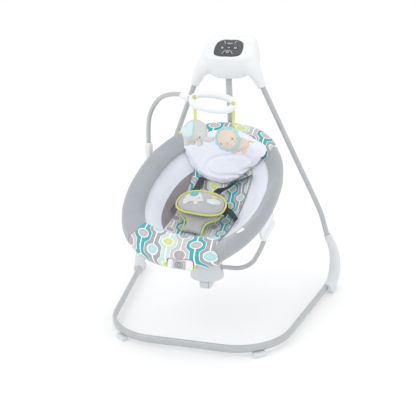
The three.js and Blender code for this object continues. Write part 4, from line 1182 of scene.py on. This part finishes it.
def head_support():
    corners = [
        (156, 196), (150, 226), (98, 264), (40, 285), (-20, 287), (-82, 272), (-132, 240), (-157, 205),
        (-156, 176), (-130, 142), (-84, 120), (-30, 111), (22, 114), (62, 129), (100, 154), (136, 173),
    ]
    outline = spline(corners, 110, closed=True)
    thick = 20
    lift = lambda x, y: pillow_base(x, y) + thick / 2
    pillow = cushion("head_cushion", outline, PILLOW_AT, lift, thick, M["knit"])
    inflate(pillow, 5.0, 4.0, 7.0)
    tree = surface_of(pillow)
    arch = [
        (-60, 162), (-50, 175), (-10, 193), (30, 198), (75, 193), (108, 172),
        (102, 150), (60, 141), (20, 137), (-20, 132), (-44, 136), (-60, 148),
    ]
    sew(pillow, dropped(tree, spline(arch, 240, closed=True), 0), 5.5, 9)
    edge = outline + (PILLOW_AT - outline) * 0.075
    sew(pillow, dropped(tree, spline(edge, 400, closed=True), 0), 1.6, 5)
    sew(pillow, dropped(tree, spline([(12, 135), (17, 122), (22, 108)], 30), 0), 3, 7)
    place(pillow, "seat", "head_support")


WAIST_AT = np.array([-6, -36])
PAD_PATCHES = [
    ("pad_elephant", "cream", 0.3, [
        (-67, -47), (-67, -30), (-61, -13), (-46, -3), (-25, 0), (-10, -9), (-2, -24), (7, -34),
        (-2, -39), (-10, -41), (-12, -56), (-23, -57), (-25, -47), (-46, -47), (-48, -58), (-61, -59),
    ]),
    ("pad_elephant_ear", "teal", 1.3, [(-55, -5), (-40, 2), (-25, 0), (-27, -15), (-38, -22), (-51, -17)]),
    ("pad_cloud", "cream", 0.3, [
        (17, -34), (15, -24), (26, -20), (34, -13), (49, -15), (62, -20), (64, -30), (51, -39), (32, -41),
    ]),
    ("pad_cloud_base", "aqua", 1.3, [(24, -32), (36, -28), (53, -30), (47, -41), (32, -42)]),
    ("pad_sun", "lime", 1.0, [(24, -7), (32, -2), (43, -5), (41, -13), (30, -14)]),
]


def waist_pad():
    angle = full_turn(90)
    outline = oval(86.5, 52, angle, 2.5) + WAIST_AT
    lift = lambda x, y: -28 - 10 * ((x + 6) / 91) ** 2
    pad = cushion("waist_cushion", outline, WAIST_AT, lift, 17, M["pad"])
    inflate(pad, 4.0, 4.0, 4.0)
    place(pad, "seat", "waist_pad")
    rim = oval(88, 53.5, angle, 2.5) + WAIST_AT
    line = np.column_stack([rim, lift(rim[:, 0], rim[:, 1]) + 1.5])
    place(sweep("waist_piping", seat(line), 3.4, M["lime"], 14, closed=True), "seat")
    tree = surface_of(pad)
    for name, key, lift, outline in PAD_PATCHES:
        applique(name, tree, outline, M[key], "seat", lift)
    for i, (x, y, mat, size) in enumerate([(-12, -24, "eye", 1.4), (-19, -29, "pink", 2.2)]):
        dot = oval(size, size, full_turn(10), 2) + (x, y)
        applique(f"pad_elephant_dot_{i}", tree, dot, M[mat], "seat", 1.5, 0.5, 12)


CROTCH_X = -8


def crotch_pad():
    stations = [
        (-52, -54, 76), (-62, -55, 76), (-74, -57.5, 66), (-84, -59, 52), (-96, -61.5, 40), (-110, -64, 36),
        (-125, -68, 36), (-138, -71, 37),
    ]
    line = spline(stations, 44)
    loops = []
    for y, z, half in line:
        ring = section(half - 2, 5.5, 40, 3.2)
        height = z + ring[:, 1] - 3 * (ring[:, 0] / 60) ** 2
        loops.append(np.column_stack([ring[:, 0] + CROTCH_X, np.full(40, y), height]))
    pad = loft("crotch_cushion", seat(loops), M["pad"])
    inflate(pad, 3.5, 4.0, 3.0)
    place(pad, "seat", "crotch_pad")
    for name, side in SIDES:
        height = line[:, 1] - 3 * (line[:, 2] / 60) ** 2
        edge = np.column_stack([side * line[:, 2] + CROTCH_X, line[:, 0], height])
        place(sweep(f"{name}_crotch_piping", seat(edge), 3.0, M["lime"], 14), "seat")


def strap(name, points, across, width, thick, mat):
    """Flat webbing through points of the seat's frame; across is its width's direction at each end."""
    line = spline(points, 70)
    path = seat(line)
    t = np.linspace(0, 1, 70)[:, None]
    ends = np.asarray(across, float)
    wide = (ends[0] * (1 - t) + ends[-1] * t) @ SEAT_TURN.T
    tangent = unit(np.gradient(path, axis=0))
    wide = unit(wide - tangent * np.sum(wide * tangent, axis=1, keepdims=True))
    return sweep(name, path, (width / 2, thick / 2), mat, 28, frames=(wide, np.cross(tangent, wide)), power=7)


def make_harness():
    top = -49.5
    shoulder = {
        "left": [
            (-70, 124, -73), (-70, 100, -71), (-68, 66, -67), (-66, 30, -57), (-72, 0, top),
            (-74, -40, top),
        ],
        "right": [
            (110, 150, -48), (85, 136, -58), (58, 120, -66), (38, 100, -74), (18, 84, -78), (8, 66, -74),
            (20, 30, -58), (50, 5, -51), (70, -10, top), (74, -40, top),
        ],
    }
    flat = (1, 0, 0)
    edge_on = (-0.28, 0.65, -0.70)
    for name, side in SIDES:
        start = edge_on if side > 0 else flat
        web = strap(f"{name}_shoulder_web", shoulder[name], [start, flat], 24, 2.2, M["web"])
        place(web, "seat", f"{name}_harness_web")
        waist = [(side * 60, -32, top), (side * 93, -32, top), (side * 110, -40, -60), (side * 122, -46, -74)]
        place(strap(f"{name}_waist_web", waist, [(0, 1, 0)], 24, 2.2, M["web"]), "seat", slot="webbing")


# ---------------------------------------------------------------- vibration unit
VIBRATION = {
    "size": np.array([88, 36, 46]), "x": 46, "rise": 5,
    "face": math.radians(90 - 34), "turn": math.radians(4),
}


def on_vibration(points):
    """The vibration unit's own frame, z out of its face, to metres."""
    c, s = math.cos(VIBRATION["face"]), math.sin(VIBRATION["face"])
    p = np.asarray(points, float) + (0, VIBRATION["rise"], 0)
    spun = np.column_stack([p[:, 0], p[:, 1] * c - p[:, 2] * s, p[:, 1] * s + p[:, 2] * c])
    x = VIBRATION["x"]
    y = -RING["b"] * (1 - (x / RING["a"]) ** OVAL_POWER) ** (1 / OVAL_POWER)
    return seat(spun @ spin_z(VIBRATION["turn"]).T + (x, y, RING["z"]))


def vibration_block(grow=0.0):
    size = VIBRATION["size"] + grow
    to_place = lambda v: on_vibration(v + (0, 0, 5))
    return rounded_block("vibration_housing", size, 10, M["white"], to_place, 0.97)


def vibration_unit():
    block = vibration_block()
    bore = sweep("bore", ring_line(250, 310), 8.6, sides=24)
    recess = rounded_block("recess", (39.8, 27.8, 6), 1.1, None, lambda v: on_vibration(v + (0, 0, 28)))
    cut(block, bore, recess)
    place(smooth_shade(block), "seat", "vibration_unit")
    key = rounded_block("vibration_cap", (39, 27, 2.5), 1.1, M["key"], lambda v: on_vibration(v + (0, 0, 28)))
    place(key, "vibration_key", "vibration_button")
    around = full_turn(80)
    for i, (w, h) in enumerate(((11, 8), (5, 4))):
        line = on_vibration(np.column_stack([oval(w, h, around, 3.5), np.full(80, 29.2)]))
        place(sweep(f"vibration_mark_{i}", line, 0.8, M["dark"], 8, closed=True), "vibration_key")
    ring = np.column_stack([oval(47.5, 20, around, 5) + (0, 3), np.full(80, 12)])
    place(sweep("pocket_binding", on_vibration(ring), 3.0, M["lime"], 14, closed=True), "seat")


def care_tape():
    """A small white tape sewn beside the lining, on the inner slope of the right rim."""
    tree = surface_of(bpy.data.objects["rim_right_cover"])
    corner = [(13, 6), (12.5, 7), (-12.5, 7), (-13, 6), (-13, -6), (-12.5, -7), (12.5, -7), (13, -6)]
    outline = np.array(corner) @ spin_z(math.radians(52))[:2, :2].T + (196, -171)
    applique("side_tape", tree, outline, M["label"], "seat", 0.6, 1.0)


def make_seat():
    for name, start, end, key, seed in (
        ("rim_right", -FOOT_EDGE, HEAD_EDGE - 0.4, "plush", 1.0),
        ("rim_left", 180 - HEAD_EDGE + 0.4, 180 + FOOT_EDGE, "plush", 2.0),
        ("rim_head", HEAD_EDGE, 180 - HEAD_EDGE, "print", 3.0),
    ):
        panel = rim_panel(f"{name}_cover", start, end, M[key], seed, uv=key == "print")
        place(panel, "seat", name)
    lining = liner()
    place(lining, "seat", "seat_liner")
    side_panel("left_side_panel", -1)
    centre_pad()
    leg_rest()
    head_support()
    waist_pad()
    crotch_pad()
    make_harness()
    vibration_unit()
    care_tape()


# ---------------------------------------------------------------- toy bar and toys
TOY_BAR_PATH = [
    (-259, 92, 559), (-259, 92, 600), (-253, 95, 681), (-231, 85, 727),
    (-193, 60, 766), (-141, 20, 790), (-88, -26, 802), (-58, -52, 800),
]
RING_AT, RING_TILT, RING_ROLL = (34, -60, 789), math.radians(26), math.radians(7)


def on_ring(points):
    """The toy ring's own level frame to millimetres in the swing's frame."""
    x, y, z = np.asarray(points, float).T
    c, s = math.cos(RING_TILT), math.sin(RING_TILT)
    y, z = y * c - z * s, y * s + z * c
    c, s = math.cos(RING_ROLL), math.sin(RING_ROLL)
    x, z = x * c + z * s, z * c - x * s
    return np.column_stack([x, y, z]) + RING_AT


PEG_PROFILE = [
    (0.5, -9), (3.9, -9), (4, -8), (4, 9.4), (6.2, 9.4),
    (6.5, 10), (6.5, 13), (5, 15.4), (2, 16.8), (0.2, 17),
]


def make_toy_ring():
    bar = sweep("toy_bar", world(spline(TOY_BAR_PATH, 120)), 8, M["paint"], 28)
    place(bar, "toy_bar", "toy_bar_tube")
    angle = full_turn(120)
    loop = on_ring(np.column_stack([oval(70, 36, angle, 2.5), np.zeros(120)]))
    upright = on_ring([(0, 0, 1)]) - on_ring([(0, 0, 0)])
    path = world(loop)
    frames = upright_frames(path, True, upright[0])
    band = sweep("band", path, (11, 9), sides=36, closed=True, power=3.2, frames=frames)
    sleeve = sweep("sleeve", world([(-82, -31, 801.5), (-48, -58, 798)]), 11.5, sides=32)
    ring = fuse("toy_ring_band", [band, sleeve], M["white"], 1.6, 4)
    bore = sweep("bore", world(spline(TOY_BAR_PATH, 120)), 8.7, sides=28)
    holes = [sweep("hole", world(on_ring([(x, 0, -20), (x, 0, 20)])), 4.4, sides=24) for x in (-64, 70)]
    cut(ring, bore, *holes)
    place(smooth_shade(ring), "toy_bar", "toy_ring")
    circle = section(1, 1, 32)
    for name, x in (("elephant", -64), ("lion", 70)):
        loops = [
            world(on_ring(np.column_stack([circle * r + (x, 0), np.full(32, h)]))) for r, h in PEG_PROFILE
        ]
        place(loft(f"{name}_knob", loops, M["limeplastic"]), "toy_bar", f"{name}_peg")


def blob(rx, ry, rz, at):
    """An ellipsoid, for melting into a toy's body; centre and radii in millimetres."""
    bm = bmesh.new()
    bmesh.ops.create_uvsphere(bm, u_segments=28, v_segments=18, radius=1)
    mesh = bpy.data.meshes.new("blob")
    bm.to_mesh(mesh)
    bm.free()
    obj = bpy.data.objects.new("blob", mesh)
    bpy.context.scene.collection.objects.link(obj)
    move_vertices(obj, world(vertices(obj) * (rx, ry, rz) + at))
    return obj


def limb(points, radii):
    """A leg or a trunk, whose radius runs evenly through the given ones."""
    radius = np.interp(np.linspace(0, 1, 24), np.linspace(0, 1, len(radii)), radii)
    return sweep("limb", world(spline(points, 24)), np.column_stack([radius, radius]))


def tail(name, points, radii, body):
    bar = sweep(f"{name}_tail", world(points), radii, M["ribbon"], 12)
    return place(bar, body)


def patch_on(name, tree, hang, outline, mat, body, lift=0.2, thick=1.2, count=40):
    """A felt shape sewn on the front of a toy; outline in millimetres right and up from its hanging point."""
    xz = spline(outline, count, closed=True)
    centre = xz.mean(axis=0)
    loops = []
    for k, h in ((0.05, 0), (1, 0), (1, thick * 0.6), (0.9, thick), (0.6, thick * 1.25), (0.05, thick * 1.4)):
        loop = []
        for x, z in centre + (xz - centre) * k:
            start = Vector(world((hang[0] + x, hang[1] - 90, hang[2] + z)))
            hit = tree.ray_cast(start, Vector((0, 1, 0)))[0]
            if hit is None:
                hit = tree.find_nearest(start + Vector((0, 0.08, 0)))[0]
            loop.append(np.array(hit) + (0, -(lift + h) / 1000, 0))
        loops.append(loop)
    return place(loft(name, loops, mat), body)


def disc(x, z, r):
    return oval(r, r, full_turn(12), 2) + (x, z)


def ribbon(name, hang, length, body):
    x, y, z = hang
    path = world([(x, y, z - length * k) for k in np.linspace(0, 1, 24)])
    wide, flat = np.tile((1.0, 0, 0), (24, 1)), np.tile((0, 1.0, 0), (24, 1))
    place(sweep(name, path, (5, 1.1), M["ribbon"], 24, frames=(wide, flat), power=6), body)


def make_elephant():
    hang = np.array([-28.5, -60, 783.8])
    at = hang - (4, 0, 55)
    move = lambda x, y, z: tuple(at + np.array((x, y, z)) * 1.1)
    parts = [
        blob(40, 22, 37, move(4, 0, -34)), blob(28, 21, 31, move(-17, 2, -43)),
        blob(22, 18, 24, move(22, -2, -44)),
        limb([move(26, -4, -52), move(40, -5, -60), move(52, -5, -60), move(62, -4, -54)], [12, 10, 8.5, 7]),
        limb([move(-26, 0, -60), move(-27, 0, -84)], [11, 10]),
        limb([move(14, 0, -62), move(16, 0, -83)], [11, 10]),
        limb([move(-8, 6, -62), move(-9, 8, -82)], [10, 9]),
    ]
    body = fuse("elephant_body", parts, M["elephant"], 2.2, 6)
    place(body, "elephant", "elephant_toy")
    tree = surface_of(body)
    ear = [(-36, -6), (-15, -2), (1, -8), (3, -30), (-2, -52), (-18, -58), (-34, -52), (-41, -30)]
    patch_on("elephant_ear", tree, at, ear, M["aqua"], "elephant", 0.3, 4.5, 64)
    patch_on("elephant_eye", tree, at, disc(24, -56, 2.2), M["eye"], "elephant", 0.2, 1.4, 16)
    patch_on("elephant_cheek", tree, at, disc(15, -65, 4.0), M["pink"], "elephant", 0.1, 0.8, 20)
    tail("elephant", [move(-40, 4, -46), move(-47, 4, -47), move(-53, 4, -44)], (3.5, 1.4), "elephant")
    ribbon("elephant_ribbon", hang, 58, "elephant")


def make_lion():
    hang = np.array([104.5, -60, 767.5])
    at = hang - (12, 0, 58)
    move = lambda x, y, z: tuple(at + (x, y, z))
    parts = [
        blob(34, 20, 22, move(28, 10, -60)), blob(20, 17, 18, move(4, 8, -62)),
        limb([move(8, 8, -70), move(6, 8, -94)], [9, 8.5]),
        limb([move(44, 10, -70), move(46, 10, -93)], [9.5, 9]),
        limb([move(22, 14, -70), move(22, 14, -90)], [8.5, 8]),
    ]
    body = fuse("lion_body", parts, M["lion"], 2.2, 6)
    place(body, "lion", "lion_toy")
    ears = [blob(8, 7, 8, move(12, -9, -10)), blob(8, 7, 8, move(-26, -9, -12))]
    head = fuse("lion_head", [blob(37, 16, 37, move(-8, -9, -40)), *ears], M["lion"], 2.2, 5)
    place(head, "lion")
    angle = full_turn(120)
    wavy = 38 + 1.4 * np.sin(11 * angle)
    ring = np.column_stack([wavy * np.cos(angle), np.full(120, -9.0), wavy * np.sin(angle)])
    ring = world(ring + move(-8, 0, -40))
    frames = upright_frames(ring, True, (0, 1, 0))
    mane = sweep("lion_mane", ring, (5, 6.5), M["mane"], 20, closed=True, frames=frames)
    place(mane, "lion")
    tree = surface_of(head)
    for name, x, z, r, mat in (
        ("lion_eye_left", -27, -55, 2.3, "eye"), ("lion_eye_right", 12, -35, 2.3, "eye"),
        ("lion_nose", -5, -52, 3.2, "pink"),
    ):
        patch_on(name, tree, at, disc(x, z, r), M[mat], "lion", 0.2, 1.3, 16)
    tail("lion", [move(58, 10, -52), move(66, 10, -50), move(75, 10, -52)], (3.4, 1.4), "lion")
    ribbon("lion_ribbon", hang, 70, "lion")


# ---------------------------------------------------------------- what stays as packed
def finish_cad_nodes():
    """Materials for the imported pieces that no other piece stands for."""
    by_slot = {
        "steel": "steel", "copper_winding": "copper", "board": "board", "cell_wrap": "cell",
        "dark_plastic": "dark", "pale_grey_plastic": "pale", "white_plastic": "white",
    }
    for name, obj in NODES.items():
        if obj.hide_render:
            continue
        obj.data.materials.clear()
        obj.data.materials.append(M[by_slot[SLOTS[name]]])
        weld = obj.modifiers.new("weld", "WELD")
        weld.merge_threshold = 0.00002
        bevel = obj.modifiers.new("soft_edges", "BEVEL")
        bevel.width, bevel.segments = 0.0006, 2
        bevel.limit_method, bevel.angle_limit = "ANGLE", math.radians(35)


make_studio()
make_stand()
make_housing()
make_arm()
make_seat_frame()
make_seat()
make_toy_ring()
make_elephant()
make_lion()
finish_cad_nodes()
